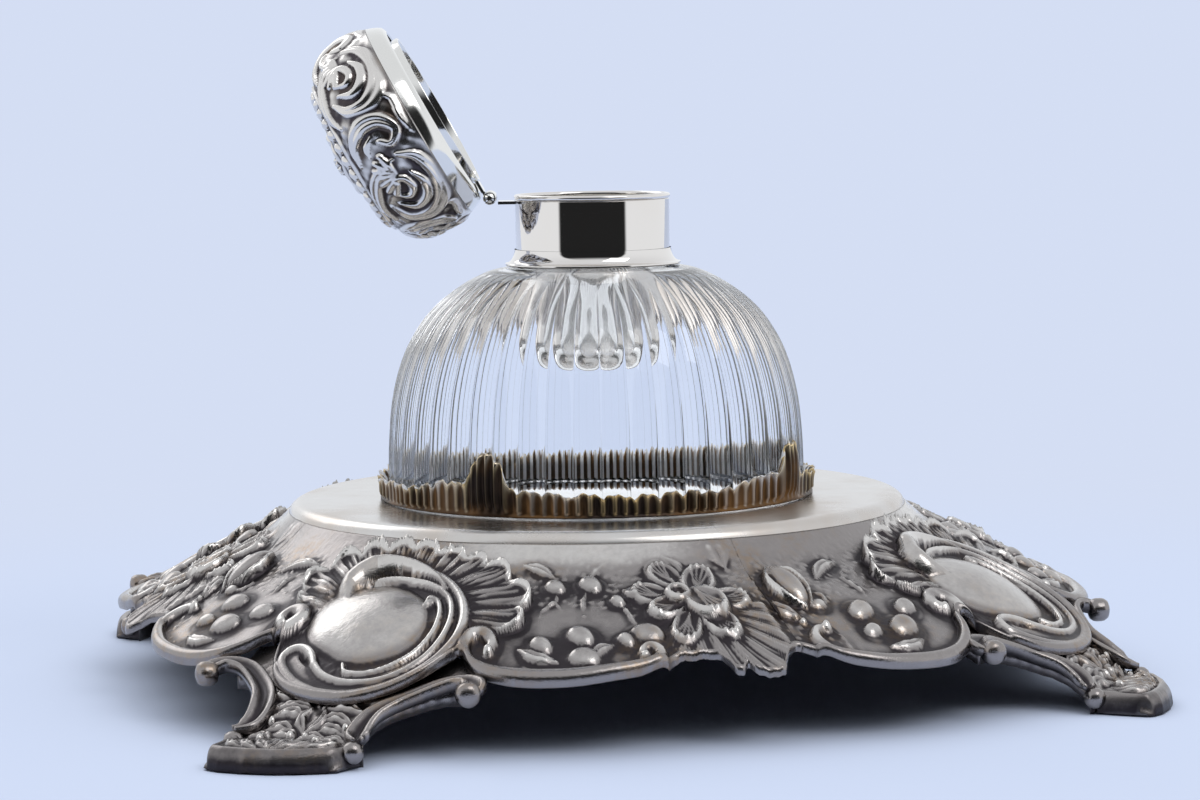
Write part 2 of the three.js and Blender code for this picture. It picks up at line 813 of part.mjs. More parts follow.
// The gallery's height at a turn in degrees from the corner: a stepped crest that falls away to a ruffle
function galleryHeight(angle) {
  const span = quarterTurn / degrees;
  const near = ((((angle + span / 2) % span) + span) % span) - span / 2;
  const ruffle = galleryRipple * Math.cos(near * degrees * galleryWaves);
  const beyond = Math.abs(near / galleryPeakHalf) * (near < 0 ? 1 : gallerySteepness) - galleryTopShare;
  const step = Math.max(0, galleryStep - beyond * galleryFall) * (near < 0 ? 1 : galleryFarShare);
  return galleryLow + ruffle + (galleryPeak - galleryLow) * (beyond < 0 ? 1 : step);
}

function gallery() {
  const inner = glassRadius + gap;
  const floor = platformTop + gap;
  const sectionAt = (turn) => {
    const top = floor + galleryHeight(turn / degrees + quarterTurn / 2 / degrees);
    const outer = inner + galleryWall + galleryFold * Math.cos(galleryFolds * turn);
    const section = [
      [inner, floor],
      [outer, floor],
      [outer, top],
      [inner, top],
    ];
    return section.map(([radius, height]) => onAxis(radius, turn, height));
  };
  return ringOf(sectionAt, galleryFolds * 2);
}

function glassWell() {
  const floor = platformTop + gap;
  const domeFoot = floor + glassFootChamfer;
  const bulge = glassRadius - glassShoulderRadius;
  const rows = domeShares.map(([reach, rise]) => (i) => {
    const depth = i % 2 ? fluteDepth * Math.min(1, reach / fluteFadeShare) : 0;
    return [glassShoulderRadius + bulge * reach - depth, domeFoot + (glassShoulder - domeFoot) * rise];
  });
  const body = stacked([() => [glassFootRadius, floor], ...rows], flutes * 2);
  const neck = turned(rectangle(0, glassShoulder - overrun, neckRadius, neckTop), neckFacets);
  const bowl = turned(
    [
      [0, inkFloor],
      ...bowlShares.map(([reach, rise]) => [inkRadius * reach, inkFloor + inkRadius * rise]),
      [inkMouthRadius, glassShoulder],
      [inkMouthRadius, neckTop + overrun],
      [0, neckTop + overrun],
    ],
    neckFacets,
  );
  return body.add(neck).subtract(bowl);
}

function buildWell() {
  const group = new THREE.Group();
  group.add(mesh("glass_well", glassWell(), cutGlass));
  const bore = collarRadius - collarWall;
  const cement = rectangle(neckRadius + gap, glassShoulder + gap, bore - gap, cementTop);
  group.add(mesh("collar_cement", turned(cement, collarFacets), plaster));
  const tube = rectangle(bore, glassShoulder + gap, collarRadius, collarTop - 2 * lipWire - gap);
  group.add(mesh("collar_tube", turned(tube, collarFacets), brightSilver));
  const footInside = collarRadius + gap;
  const footLow = glassShoulder + gap;
  const flare = collarFootRadius - footInside - collarFootEdge;
  const rise = collarFootTop - footLow - collarFootEdge;
  const cove = coveShares.map((share) => [
    footInside + collarFootEdge + flare * share ** 2,
    footLow + collarFootEdge + rise * (1 - share) ** coveBow,
  ]);
  const skirt = [
    [footInside, footLow],
    [collarFootRadius, footLow],
    [collarFootRadius, footLow + collarFootEdge],
    ...cove,
    [footInside + collarFootEdge, collarFootTop],
    [footInside, collarFootTop],
    [footInside, footLow],
  ];
  group.add(mesh("collar_foot", turned(skirt, collarFacets), brightSilver));
  const lip = arc([collarRadius - collarWall / 2, collarTop - lipWire], lipWire, 0, 360, 6);
  group.add(mesh("collar_lip", turned(lip, collarFacets), brightSilver));
  group.add(...hingeOnWell());
  return group;
}

// Hinge, built along +X and turned to its place with the well
const hingeSpan = 3 * knuckleLength + 2 * knuckleGap;
const leafTop = hingeHeight - leafDrop;

function alongY(radius, length, middle, segments) {
  const rod = new THREE.CylinderGeometry(radius, radius, length, segments);
  rod.translate(hingeReach, middle, hingeHeight);
  return solidOf(rod);
}

function knuckle(index) {
  const middle = (index - 1) * (knuckleLength + knuckleGap);
  const tube = alongY(knuckleRadius, knuckleLength, middle, knuckleFacets);
  return tube.subtract(alongY(knuckleBore, knuckleLength + overrun, middle, boreFacets));
}

function hingeOnWell() {
  const inner = collarRadius / 2;
  const outer = hingeReach - knuckleRadius - gap;
  const plate = new THREE.BoxGeometry(outer - inner, hingeSpan, leafThickness);
  plate.translate((inner + outer) / 2, 0, leafTop - leafThickness / 2);
  const wall = turned(rectangle(0, leafTop - overrun, collarRadius + gap, leafTop + overrun), wideFacets);
  const pin = joined([
    alongY(pinRadius, hingeSpan + 2 * gap, 0, boreFacets),
    alongY(pinHead, pinHeadLength, hingeSpan / 2 + gap + pinHeadLength / 2, boreFacets),
    alongY(pinHead, pinHeadLength, -hingeSpan / 2 - gap - pinHeadLength / 2, boreFacets),
  ]);
  return [
    mesh("hinge_bracket", solidOf(plate).subtract(wall), brightSilver),
    mesh("hinge_knuckle_front", knuckle(0), brightSilver),
    mesh("hinge_knuckle_back", knuckle(2), brightSilver),
    mesh("hinge_pin", pin, satinSilver),
  ];
}

// The lid, built shut over the collar
function lidRadius(share) {
  const above = lidShares.findIndex(([, rise]) => rise >= share);
  if (above < 1) {
    const [lastReach, lastRise] = lidShares[lidShares.length - 1];
    return above ? (lidBulge * lastReach * (1 - share)) / (1 - lastRise) : lidBulge * lidShares[0][0];
  }
  const [[lowReach, lowRise], [highReach, highRise]] = [lidShares[above - 1], lidShares[above]];
  return lidBulge * (lowReach + ((highReach - lowReach) * (share - lowRise)) / (highRise - lowRise));
}

function lidPoint(share, inset) {
  return [lidRadius(share) - inset, lidRimHeight + share * lidHeight - inset * share];
}

function lidShell() {
  const foot = bandShare + gap / lidHeight;
  const shares = [foot, ...lidShares.map(([, rise]) => rise).filter((rise) => rise > foot)];
  const crown = lidRimHeight + lidHeight;
  const outside = shares.map((share) => lidPoint(share, 0));
  const inside = shares.map((share) => lidPoint(share, lidSheet));
  const low = outside[0][1];
  const shell = turned([[0, low], ...outside, [0, crown]], lidFacets);
  const cutter = [[0, low - overrun], [inside[0][0], low - overrun], ...inside, [0, crown - lidSheet]];
  const hollow = turned(cutter, lidHollowFacets);
  const middle = lidRimHeight + lidHeight * scrollShare;
  const onLid = (turn, share) => {
    const [radius, height] = lidPoint(share, -lidScrollThickness / lidScrollSink);
    return onAxis(radius, turn, height);
  };
  const outwards = (point) => new THREE.Vector3(point.x, point.y, point.z - middle).normalize();
  const scrolls = Array.from({ length: lidScrolls }, (_, i) => {
    const turn = ((2 * i + 1) / lidScrolls) * Math.PI;
    const [from, to] = lidScrollSweep;
    const path = Array.from({ length: lidScrollSteps + 1 }, (_, k) => {
      const share = k / lidScrollSteps;
      const bearing = (from + (to - from) * share) * degrees;
      const roll = 1 - lidScrollRoll * Math.max(0, 2 * share - 1);
      const around = ((Math.PI * lidScrollSpread) / lidScrolls) * roll * Math.cos(bearing);
      return onLid(turn + around, scrollShare + scrollReachShare * roll * Math.sin(bearing));
    });
    const thickness = (share) => {
      return lidScrollThickness * (1 - lidScrollThinning * (1 - Math.sin(share * Math.PI)));
    };
    return sweptBead(path, thickness, beadSides, outwards);
  });
  const [ringRadius, ringHeight] = lidPoint(gadroonShare, lidSheet / 2);
  const gadroonSection = (turn) => {
    const swell = gadroonRise * (1 - gadroonDip * (1 - Math.cos(turn * gadroons)));
    const at = (across, up) => onAxis(ringRadius + across, turn, ringHeight + up);
    return [at(-gadroonWidth, 0), at(gadroonWidth, -lidSheet / 2), at(swell, swell)];
  };
  const gadroonRing = ringOf(gadroonSection, gadroons * 2);
  const rosette = dome([rosetteRadius, rosetteRadius, rosetteRise + lidSheet / 2], ovalFacets);
  const parts = [shell, ...scrolls, gadroonRing, rosette.translate([0, 0, crown - lidSheet / 2])];
  return skinOf(joined(parts).subtract(hollow));
}

// The plain band round the lid's mouth, with a ledge turned in to the liner
function lidBand() {
  const shares = [0, lidShares[1][1], bandShare];
  const outside = shares.map((share) => lidPoint(share, 0));
  const inside = shares.slice(1).map((share) => lidPoint(share, lidSheet));
  const inner = linerRadius + gap;
  const ledgeTop = lidRimHeight + bandLedge;
  return turned(
    [
      [inner, lidRimHeight],
      ...outside,
      [inside[1][0], outside[2][1]],
      inside[0],
      [outside[0][0] - bandLedge, ledgeTop],
      [inner, ledgeTop],
      [inner, lidRimHeight],
    ],
    lidFacets,
  );
}

function lidLiner() {
  const inner = linerRadius - linerWall;
  const low = lidRimHeight - linerDrop;
  const plate = lidRimHeight + linerRise;
  return turned(
    [
      [0, plate],
      [inner, plate],
      [inner, low],
      [linerRadius, low],
      [linerRadius, plate + linerWall],
      [0, plate + linerWall],
    ],
    lidFacets,
  );
}

// The lid's half of the hinge: a tab under the band, and the middle knuckle
function lidHingeTab() {
  const top = lidRimHeight - gap;
  const inner = linerRadius + gap;
  const outer = hingeReach - knuckleRadius - gap;
  const place = (from, to, width) => {
    const plate = new THREE.BoxGeometry(to - from, width, leafThickness);
    plate.translate((from + to) / 2, 0, top - leafThickness / 2);
    return solidOf(plate);
  };
  const sleeve = turned(rectangle(0, top - overrun, inner, top + overrun), wideFacets);
  const wide = place(inner / 2, outer, hingeSpan);
  const narrow = place(outer - gap, hingeReach, knuckleLength);
  const bore = alongY(knuckleBore, knuckleLength + overrun, 0, boreFacets);
  return joined([wide.subtract(sleeve), narrow, knuckle(1)]).subtract(bore);
}

function buildLid() {
  const group = new THREE.Group();
  group.add(
    mesh("lid_shell", lidShell(), brightSilver),
    mesh("lid_band", lidBand(), brightSilver),
    mesh("lid_liner", lidLiner(), gildedSilver),
    mesh("lid_hinge_tab", lidHingeTab(), brightSilver),
  );
  return group;
}

const inkstand = new THREE.Group();
inkstand.add(buildStand());

const well = buildWell();
well.rotation.z = hingeTurn * degrees;
const lidPivot = new THREE.Group();
lidPivot.position.set(hingeReach, 0, hingeHeight);
lidPivot.rotation.y = openAngle * degrees;
const lid = buildLid();
lid.position.set(-hingeReach, 0, -hingeHeight);
lidPivot.add(lid);
well.add(lidPivot);
inkstand.add(well);

export default inkstand;
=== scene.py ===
"""Silver inkwell on a rococo stand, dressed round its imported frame."""

import math

import bpy
import numpy as np
from mathutils import Matrix, Vector


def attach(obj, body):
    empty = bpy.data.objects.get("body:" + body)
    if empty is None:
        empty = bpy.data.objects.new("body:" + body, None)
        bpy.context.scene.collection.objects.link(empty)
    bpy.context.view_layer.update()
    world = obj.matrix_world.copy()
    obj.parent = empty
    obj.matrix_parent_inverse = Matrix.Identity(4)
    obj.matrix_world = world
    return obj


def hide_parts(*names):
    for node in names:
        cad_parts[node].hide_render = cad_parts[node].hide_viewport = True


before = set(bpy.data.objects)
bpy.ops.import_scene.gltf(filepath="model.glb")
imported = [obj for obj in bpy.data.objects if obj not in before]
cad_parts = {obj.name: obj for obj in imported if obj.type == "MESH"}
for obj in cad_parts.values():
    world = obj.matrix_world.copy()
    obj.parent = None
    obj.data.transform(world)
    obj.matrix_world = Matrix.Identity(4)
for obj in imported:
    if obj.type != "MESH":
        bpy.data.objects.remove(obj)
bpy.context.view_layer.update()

bl_info = {
    "name": "Silver inkwell",
    "version": (1, 0, 0),
    "blender": (4, 5, 0),
    "location": "3D View > Sidebar > Inkwell",
    "description": "Dresses a silver inkwell with a hinged lid round its CAD frame",
    "category": "Object",
}

MM = 0.001
POLE = 0.001                  # the radius given to a turned piece's pole, in millimetres
QUARTER = 90
CORNERS = {"front_right": -45, "back_right": 45, "back_left": 135, "front_left": -135}

# Sizes shared with the frame, in millimetres and degrees
PLATFORM_RADIUS = 62.3
PLATFORM_TOP = 35.2
BORDER_FOOT = 62.3
GLASS_FLOOR = 35.5
GLASS_NECK = 13.2
NECK_TOP = 94.6
COLLAR_RADIUS = 15.5
COLLAR_WALL = 0.6
COLLAR_FLOOR = 81.7
HINGE_REACH = 20.5
HINGE_HEIGHT = 95.4
HINGE_TURN = 163.5
OPEN_ANGLE = 119.3
LID_RIM = 96.6


# ---------------------------------------------------------------- settings

def count_setting(name, description, default, low, high):
    return bpy.props.IntProperty(
        name=name, description=description, default=default, min=low, max=high)


def colour_setting(name, description, default):
    return bpy.props.FloatVectorProperty(
        name=name, description=description, subtype="COLOR", size=3, default=default, min=0, max=1)


class InkwellSizes(bpy.types.PropertyGroup):
    """Sizes a silversmith would change."""

    relief: bpy.props.FloatProperty(
        name="Relief", description="Height of the cast ornament against the pattern's",
        default=1.0, min=0.2, max=1.5)
    columns: count_setting(
        "Border columns", "Columns of faces along one quarter of the border", 420, 60, 480)
    rows: count_setting("Border rows", "Rows of faces across the border", 124, 20, 150)
    flutes: count_setting("Flutes", "Flutes cut round the glass", 48, 12, 96)
    flute_depth: bpy.props.FloatProperty(
        name="Flute depth", description="Depth of a flute at the glass's widest",
        default=0.0005, min=0, max=0.003, unit="LENGTH")


class InkwellColours(bpy.types.PropertyGroup):
    """Colours of the finishes and the setting."""

    silver: colour_setting("Silver", "Bright worn silver", (0.74, 0.71, 0.68))
    satin: colour_setting("Satin silver", "The stand's plain drum", (0.66, 0.64, 0.62))
    pewter: colour_setting(
        "Cast silver", "Castings where they are neither rubbed nor black", (0.30, 0.276, 0.268))
    # oxide in the castings' hollows, and also the painted shade under the drum and under the
    # border
    oxide_and_shade: colour_setting("Oxide", "Black oxide left in the recesses", (0.042, 0.036, 0.040))
    tarnish: colour_setting("Tarnish", "Warm film on the silver", (0.34, 0.245, 0.165))
    gilt: colour_setting("Gilding", "Worn gilding on the gallery", (0.62, 0.47, 0.24))
    glass: colour_setting("Glass", "Clear lead glass", (0.985, 0.992, 1.0))
    floor: colour_setting("Floor", "Pale floor and backdrop", (0.66, 0.73, 0.90))


def sizes():
    return bpy.context.scene.inkwell_sizes


def colours():
    return bpy.context.scene.inkwell_colours


# ---------------------------------------------------------------- lines and sections

def flow(points, step=0.5):
    """A smooth line through points, as an array of close points."""
    p = np.array(points, float)
    ends = np.vstack([2 * p[0] - p[1], p, 2 * p[-1] - p[-2]])
    made = []
    for a, b, c, d in zip(ends, ends[1:], ends[2:], ends[3:]):
        count = max(2, int(np.linalg.norm(c - b) / step) + 1)
        t = (np.arange(count) / count)[:, None]
        made.append(0.5 * (2 * b + (c - a) * t + (2 * a - 5 * b + 4 * c - d) * t ** 2
                           + (3 * b - a - 3 * c + d) * t ** 3))
    return np.vstack([*made, p[-1:]])


def headings(path):
    """The unit direction of a line at each of its points."""
    along = np.gradient(path, axis=0)
    return along / np.linalg.norm(along, axis=1)[:, None]


def offset(points, distance):
    """A line beside a smooth one, to its left for a positive distance."""
    path = flow(points, 1.0)
    along = headings(path)
    return path + distance * np.stack([-along[:, 1], along[:, 0]], 1)


def travelled(path):
    """The way along a line to each of its points."""
    return np.concatenate([[0], np.cumsum(np.linalg.norm(np.diff(path, axis=0), axis=1))])


def look_up(x, places, values):
    """Values at x, between values known at places in any order."""
    order = np.argsort(places)
    return np.interp(x, np.asarray(places)[order], np.asarray(values)[order])


def spread(value, share):
    """A number, or a list of numbers evenly along a line, at shares of the line."""
    if isinstance(value, (int, float)):
        return np.full(len(share), float(value))
    return np.interp(share, np.linspace(0, 1, len(value)), value)


def between(low, high, x):
    """0 at low, 1 at high, smooth between and level beyond."""
    t = np.clip((x - low) / (high - low), 0, 1)
    return t * t * (3 - 2 * t)


# Sections of a line of ornament: the height at x, from 0 in the middle to 1 at the side
def bead(x):
    return np.sqrt(np.clip(1 - x * x, 0, 1))


def ridge(x):
    return np.cos(np.clip(np.abs(x), 0, 1) * math.pi / 2) ** 1.4


def flat(x):
    return between(0, 0.35, 1 - np.abs(x))


def vein(x):
    """A leaf: two swelling halves with a groove between them."""
    return bead(x) * (0.62 + 0.38 * np.abs(np.sin(np.clip(np.abs(x), 0, 1) * math.pi)))


class Relief:
    """Heights over plan points, laid on one ornament after another as wax is built up."""

    def __init__(self, across, out, wrap=None):
        self.across, self.out = across, out
        self.shifts = (0,) if wrap is None else (-wrap, 0, wrap)
        self.height = np.zeros(len(across))
        self.polish = np.zeros(len(across))

    def about(self, middle):
        """The plan points as seen from a middle."""
        return self.across - middle[0], self.out - middle[1]

    def lay(self, where, value, how="over"):
        if how == "over":
            self.height[where] = np.maximum(self.height[where], value)
        else:
            self.height[where] += value if how == "on" else -value

    def stroke(self, points, width, rise, section=bead, how="over"):
        """A line of ornament; width is half its breadth, and width and rise may vary along it."""
        path = flow(points)
        lengths = travelled(path)
        share = lengths / lengths[-1]
        widths, rises = spread(width, share), spread(rise, share)
        most = widths.max() + 0.05
        low, high = path.min(0) - most, path.max(0) + most
        for shift in self.shifts:
            x, y = self.across - shift, self.out
            near = np.nonzero((x > low[0]) & (x < high[0]) & (y > low[1]) & (y < high[1]))[0]
            if not len(near):
                continue
            px, py = x[near], y[near]
            best = np.full(len(near), np.inf)
            half, top = np.zeros(len(near)), np.zeros(len(near))
            for k in range(len(path) - 1):
                (ax, ay), (dx, dy) = path[k], path[k + 1] - path[k]
                t = np.clip(((px - ax) * dx + (py - ay) * dy) / (dx * dx + dy * dy + 1e-12), 0, 1)
                far = np.hypot(px - ax - t * dx, py - ay - t * dy)
                nearer = far < best
                best[nearer] = far[nearer]
                half[nearer] = (widths[k] + t * (widths[k + 1] - widths[k]))[nearer]
                top[nearer] = (rises[k] + t * (rises[k + 1] - rises[k]))[nearer]
            inside = best < half
            self.lay(near[inside], top[inside] * section(best[inside] / half[inside]), how)

    def mound(self, centre, radii, rise, turn=0.0, power=0.5, how="over"):
        """A rounded swelling; turn is in degrees."""
        c, s = math.cos(math.radians(turn)), math.sin(math.radians(turn))
        for shift in self.shifts:
            x, y = self.across - shift - centre[0], self.out - centre[1]
            a, b = (x * c + y * s) / radii[0], (y * c - x * s) / radii[1]
            reach = a * a + b * b
            where = np.nonzero(reach < 1)[0]
            self.lay(where, rise * (1 - reach[where]) ** power, how)


def soften(grid, reach, axis, closed=False):
    """A running mean over reach cells to each side."""
    if closed:
        return sum(np.roll(grid, k, axis) for k in range(-reach, reach + 1)) / (2 * reach + 1)
    padding = [(0, 0), (0, 0)]
    padding[axis] = (reach, reach)
    padded = np.pad(grid, padding, mode="edge")
    total = np.cumsum(np.insert(padded, 0, 0, axis), axis)
    count = grid.shape[axis]
    high = np.take(total, np.arange(2 * reach + 1, 2 * reach + 1 + count), axis)
    low = np.take(total, np.arange(count), axis)
    return (high - low) / (2 * reach + 1)


def proud(grid, down, along, closed=False):
    """How far each point stands over the mean of those about it."""
    return grid - soften(soften(grid, down, 0), along, 1, closed)


def looped(*parts):
    """Rows one below another, and the first of them again."""
    return np.vstack([*parts, parts[0][:1]])


def spun(radius, turn, height):
    """Points by radius, turn in radians and height."""
    radius, turn, height = np.broadcast_arrays(radius, turn, height)
    return np.stack([radius * np.cos(turn), radius * np.sin(turn), height], -1)


# ---------------------------------------------------------------- modelling

def clear_selection():
    if bpy.context.object and bpy.context.object.mode != "OBJECT":
        bpy.ops.object.mode_set(mode="OBJECT")
    bpy.ops.object.select_all(action="DESELECT")


def choose(*pieces):
    clear_selection()
    for piece in pieces:
        piece.select_set(True)
    bpy.context.view_layer.objects.active = pieces[-1]
    return pieces[-1]


def mended(piece, crease=None, gap=2e-7):
    """Closes seams and poles, turns the faces outwards and shades them."""
    choose(piece)
    bpy.ops.object.mode_set(mode="EDIT")
    bpy.ops.mesh.select_all(action="SELECT")
    bpy.ops.mesh.remove_doubles(threshold=gap)
    bpy.ops.mesh.dissolve_degenerate(threshold=gap)
    bpy.ops.mesh.select_all(action="DESELECT")
    bpy.ops.mesh.select_non_manifold(extend=False, use_wire=False, use_multi_face=False,
                                     use_non_contiguous=False, use_verts=False)
    bpy.ops.mesh.fill_holes(sides=0)
    bpy.ops.mesh.select_all(action="SELECT")
    bpy.ops.mesh.normals_make_consistent(inside=False)
    bpy.ops.object.mode_set(mode="OBJECT")
    if crease is None:
        bpy.ops.object.shade_smooth()
    else:
        bpy.ops.object.shade_smooth_by_angle(angle=math.radians(crease))
    return piece


def set_wear_and_painted_light(piece, wear_and_painted_light):
    """Keeps with each point how worn it is, with painted shade and painted light where a piece has
    them, from 0 in the black to 1 where it is bright.
    """
    attribute = piece.data.attributes.new("wear_and_painted_light", "FLOAT", "POINT")
    attribute.data.foreach_set("value", np.clip(wear_and_painted_light, 0, 1).astype(np.float32).ravel())


def moulded(name, places, wear_and_painted_light=None, crease=None):
    """A grid primitive pressed to places[row, column] in millimetres, with its seams closed."""
    rows, columns = places.shape[:2]
    clear_selection()
    bpy.ops.mesh.primitive_grid_add(x_subdivisions=columns - 1, y_subdivisions=rows - 1, size=1)
    piece = bpy.context.object
    piece.name = piece.data.name = name
    piece.data.vertices.foreach_set("co", (places.reshape(-1) * MM).astype(np.float32))
    if wear_and_painted_light is not None:
        set_wear_and_painted_light(piece, wear_and_painted_light)
    piece.data.uv_layers.remove(piece.data.uv_layers[0])
    piece.data.update()
    return mended(piece, crease)


def turned(name, profile, segments=160, crease=32):
    """A profile of (radius, height) carried round the axis by extruding a circle's edge."""
    (radius, height), *rest = [(max(r, POLE), z) for r, z in profile]
    clear_selection()
    bpy.ops.mesh.primitive_circle_add(
        vertices=segments, radius=radius * MM, location=(0, 0, height * MM))
    piece = bpy.context.object
    piece.name = piece.data.name = name
    bpy.ops.object.transform_apply(location=True, rotation=False, scale=False)
    bpy.ops.object.mode_set(mode="EDIT")
    bpy.ops.mesh.select_all(action="SELECT")
    for next_radius, next_height in rest:
        grown = next_radius / radius
        bpy.ops.mesh.extrude_region_move(
            TRANSFORM_OT_translate={"value": (0, 0, (next_height - height) * MM)})
        bpy.ops.transform.resize(value=(grown, grown, 1), center_override=(0, 0, 0))
        radius, height = next_radius, next_height
    bpy.ops.object.mode_set(mode="OBJECT")
    return mended(piece, crease, gap=3e-6)


def joined(name, pieces):
    """Several meshes as one piece."""
    whole = choose(*pieces)
    bpy.ops.object.join()
    whole.name = whole.data.name = name
    return whole


def turned_copy(piece, name, degrees):
    """A copy with its own mesh, turned about the stand's axis."""
    copy = piece.copy()
    copy.data = piece.data.copy()
    copy.name = copy.data.name = name
    bpy.context.scene.collection.objects.link(copy)
    copy.data.transform(Matrix.Rotation(math.radians(degrees), 4, "Z"))
    return copy


def place_piece(piece, body, nodes, finish):
    """Puts a finished piece on its body, in place of its nodes, in its finish."""
    piece.data.materials.clear()
    piece.data.materials.append(finish)
    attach(piece, body)
    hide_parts(*nodes)


# ---------------------------------------------------------------- the border's pattern

SEAM = -38.0                  # degrees from the corner to the casting's first seam
SHEET = 1.6                   # the border's thickness
SKIRT_EDGE = 70               # inside this radius the sheet turns up to the drum
SKIRT_RISE = 3.0
EDGE_TURN = 150               # how far the edge rolls over and under, in degrees
# By degrees from the corner: how far out the border reaches, its edge's roll and its edge's depth
OUTLINE = [(-38, 91.4), (-36.6, 92.6), (-36, 93.5), (-34, 96.0), (-31, 98.2), (-27.5, 99.3),
           (-23, 99.8), (-20, 99.3), (-17.6, 97.9), (-16, 96.2), (-14.6, 93.6), (-13.4, 90.6),
           (-12.4, 89.4), (-11.6, 90.6), (-10.6, 93.6), (-9.4, 96.6), (-7.4, 100.2), (-5, 102.6),
           (-2, 103.9), (1, 104.2), (4, 103.6), (7, 101.4), (9.6, 97.8), (11.3, 94.2),
           (12.2, 91.8), (13, 91.9), (14, 94.2), (15, 95.8), (16.6, 97.2), (19, 98.4), (22, 98.8),
           (26, 98.4), (30, 97.0), (33, 95.4), (35.6, 93.9), (37.2, 92.2), (39, 91.8),
           (41.6, 91.8), (42.6, 93.8), (43.3, 95.9), (44.1, 96.0), (44.7, 94.8), (45.6, 96.6),
           (48.2, 97.4), (49, 95.4), (50, 93.0), (51.2, 91.2), (52, 91.4)]
EDGE_ROLL = [(-38, 0.8), (-34, 1.6), (-14, 1.6), (-11, 1.0), (-6, 1.3), (7, 1.3), (12, 0.9),
             (15, 1.6), (34, 1.6), (37, 0.8), (52, 0.8)]
EDGE_DEPTH = [(-38, 1.9), (-33, 2.8), (-16, 3.0), (-12, 2.4), (12, 2.4), (16, 3.0), (33, 3.0),
              (38, 2.0), (52, 1.9)]

# Ornament in the corner's plan, in millimetres: across to the left of the corner's line, and out
LOBE_DISHES = [((36.0, 79.0), -24), ((-34.0, 81.0), 24)]
FRAME_OUTER = [(-9.6, 74.2), (-6.4, 72.2), (-2.6, 71.2), (2.6, 71.4), (8.1, 73.3), (13.0, 76.7),
               (16.4, 81.2), (18.0, 86.6), (17.6, 91.6), (15.8, 95.6), (12.9, 98.9), (9.2, 101.3),
               (4.3, 102.8), (-2.0, 102.8), (-7.5, 101.0), (-11.8, 98.0), (-13.9, 95.0),
               (-13.2, 92.9), (-11.0, 92.6), (-8.2, 94.2), (-5.9, 96.9)]
FRAME_INNER = [(-5.9, 96.9), (-2.6, 99.2), (1.7, 100.3), (6.6, 99.9), (10.4, 98.2), (13.4, 95.1),
               (15.0, 91.4), (15.2, 86.4), (13.8, 81.3), (11.0, 77.3), (6.6, 74.8), (1.8, 73.9),
               (-3.2, 74.0), (-7.4, 75.6)]
FRAME_LINING = [(-0.4, 95.9), (1.4, 97.8), (5.6, 97.7), (9.2, 95.4), (11.9, 91.4), (12.5, 86.3),
                (11.4, 81.6), (9.4, 78.4), (7.2, 77.7), (7.4, 79.4)]
BOSS = [(-14.4, 85.9), (-15.6, 81.0), (-13.8, 76.6), (-7.0, 73.6), (2.6, 74.6), (8.0, 78.2),
        (10.9, 84.6), (9.4, 90.4), (4.6, 94.4), (0.0, 95.4), (-5.6, 93.6), (-11.4, 90.2)]
BOSS_MIDDLE = (-1.8, 84.8)
BOSS_RISE = 3.2
# The large leaf curled over the boss, the groove in it, and its polished belly
CURL = [(9.4, 75.4), (4.6, 72.2), (-1.0, 70.6), (-6.0, 70.9), (-9.8, 73.4), (-10.8, 76.8),
        (-9.0, 80.4)]
CURL_GROOVE = [(3.6, 73.4), (-1.6, 72.4), (-5.6, 73.6), (-6.8, 76.0)]
CURL_BELLY = (-9.6, 75.6)
NEAR_RIM = [(24.8, 87.4), (24.2, 84.8), (21.6, 83.2), (19.6, 84.6), (19.8, 88.0), (22.6, 91.0),
            (26.4, 92.2), (30.0, 91.9), (33.8, 91.0), (37.4, 89.8), (43.4, 86.6), (49.0, 82.2),
            (52.0, 79.0), (53.4, 76.2), (52.6, 74.2), (50.6, 74.0), (50.0, 75.6), (51.2, 77.0)]
FAR_RIM = [(-20.6, 84.9), (-21.6, 83.2), (-20.2, 81.6), (-18.0, 82.0), (-17.0, 84.2),
           (-18.0, 86.6), (-20.6, 88.6), (-24.0, 90.8), (-28.4, 92.2), (-33.0, 92.6),
           (-37.6, 91.6), (-42.6, 89.2), (-47.8, 85.6), (-51.8, 81.0), (-53.8, 77.2),
           (-53.0, 73.8), (-50.6, 72.2), (-48.4, 73.2)]
# How thick a rim is along its line, by its full thickness
NEAR_SHARES = [0.55, 0.8, 1.0, 1.0, 1.0, 1.0, 1.0, 1.0, 1.0, 0.9, 0.75, 0.5]
FAR_SHARES = [0.7, 1.0, 1.15, 1.15, 1.0, 0.95, 1.0, 1.0, 1.0, 1.0, 0.95, 0.85, 0.7, 0.5]
FAN_EDGE = [(-18.9, 81.2), (-22.3, 77.2), (-24.1, 71.9), (-20.8, 68.6), (-17.9, 66.6),
            (-14.7, 66.0), (-12.0, 65.4), (-7.0, 65.6), (-2.8, 64.6), (2.6, 64.6), (7.1, 64.6),
            (10.3, 64.8), (13.8, 65.0), (18.2, 66.7), (21.4, 69.0), (24.9, 70.9), (26.4, 73.3),
            (26.2, 75.6), (27.2, 77.3), (27.2, 80.0), (25.2, 82.3)]
FAN_NOTCHES = [(-22.9, 74.8), (-20.2, 69.2), (-14.1, 66.8), (-8.3, 65.8), (-2.6, 64.6),
               (3.2, 64.8), (8.8, 65.4), (13.6, 65.4), (20.6, 68.7), (24.8, 75.1), (24.8, 82.3)]
FAN_MIDDLE = (-1.0, 84.0)
FAN_RISE = [1.6, 1.8, 2.0, 2.4, 3.0, 4.0, 5.2, 6.1, 6.4, 6.2, 5.6, 4.9, 4.2, 3.6, 3.2, 2.9,
            2.6, 2.4, 2.2, 2.0, 1.8]
FAN_RIBS = 34
FAN_START = 11.0              # how far from its middle the fan comes out from the frame
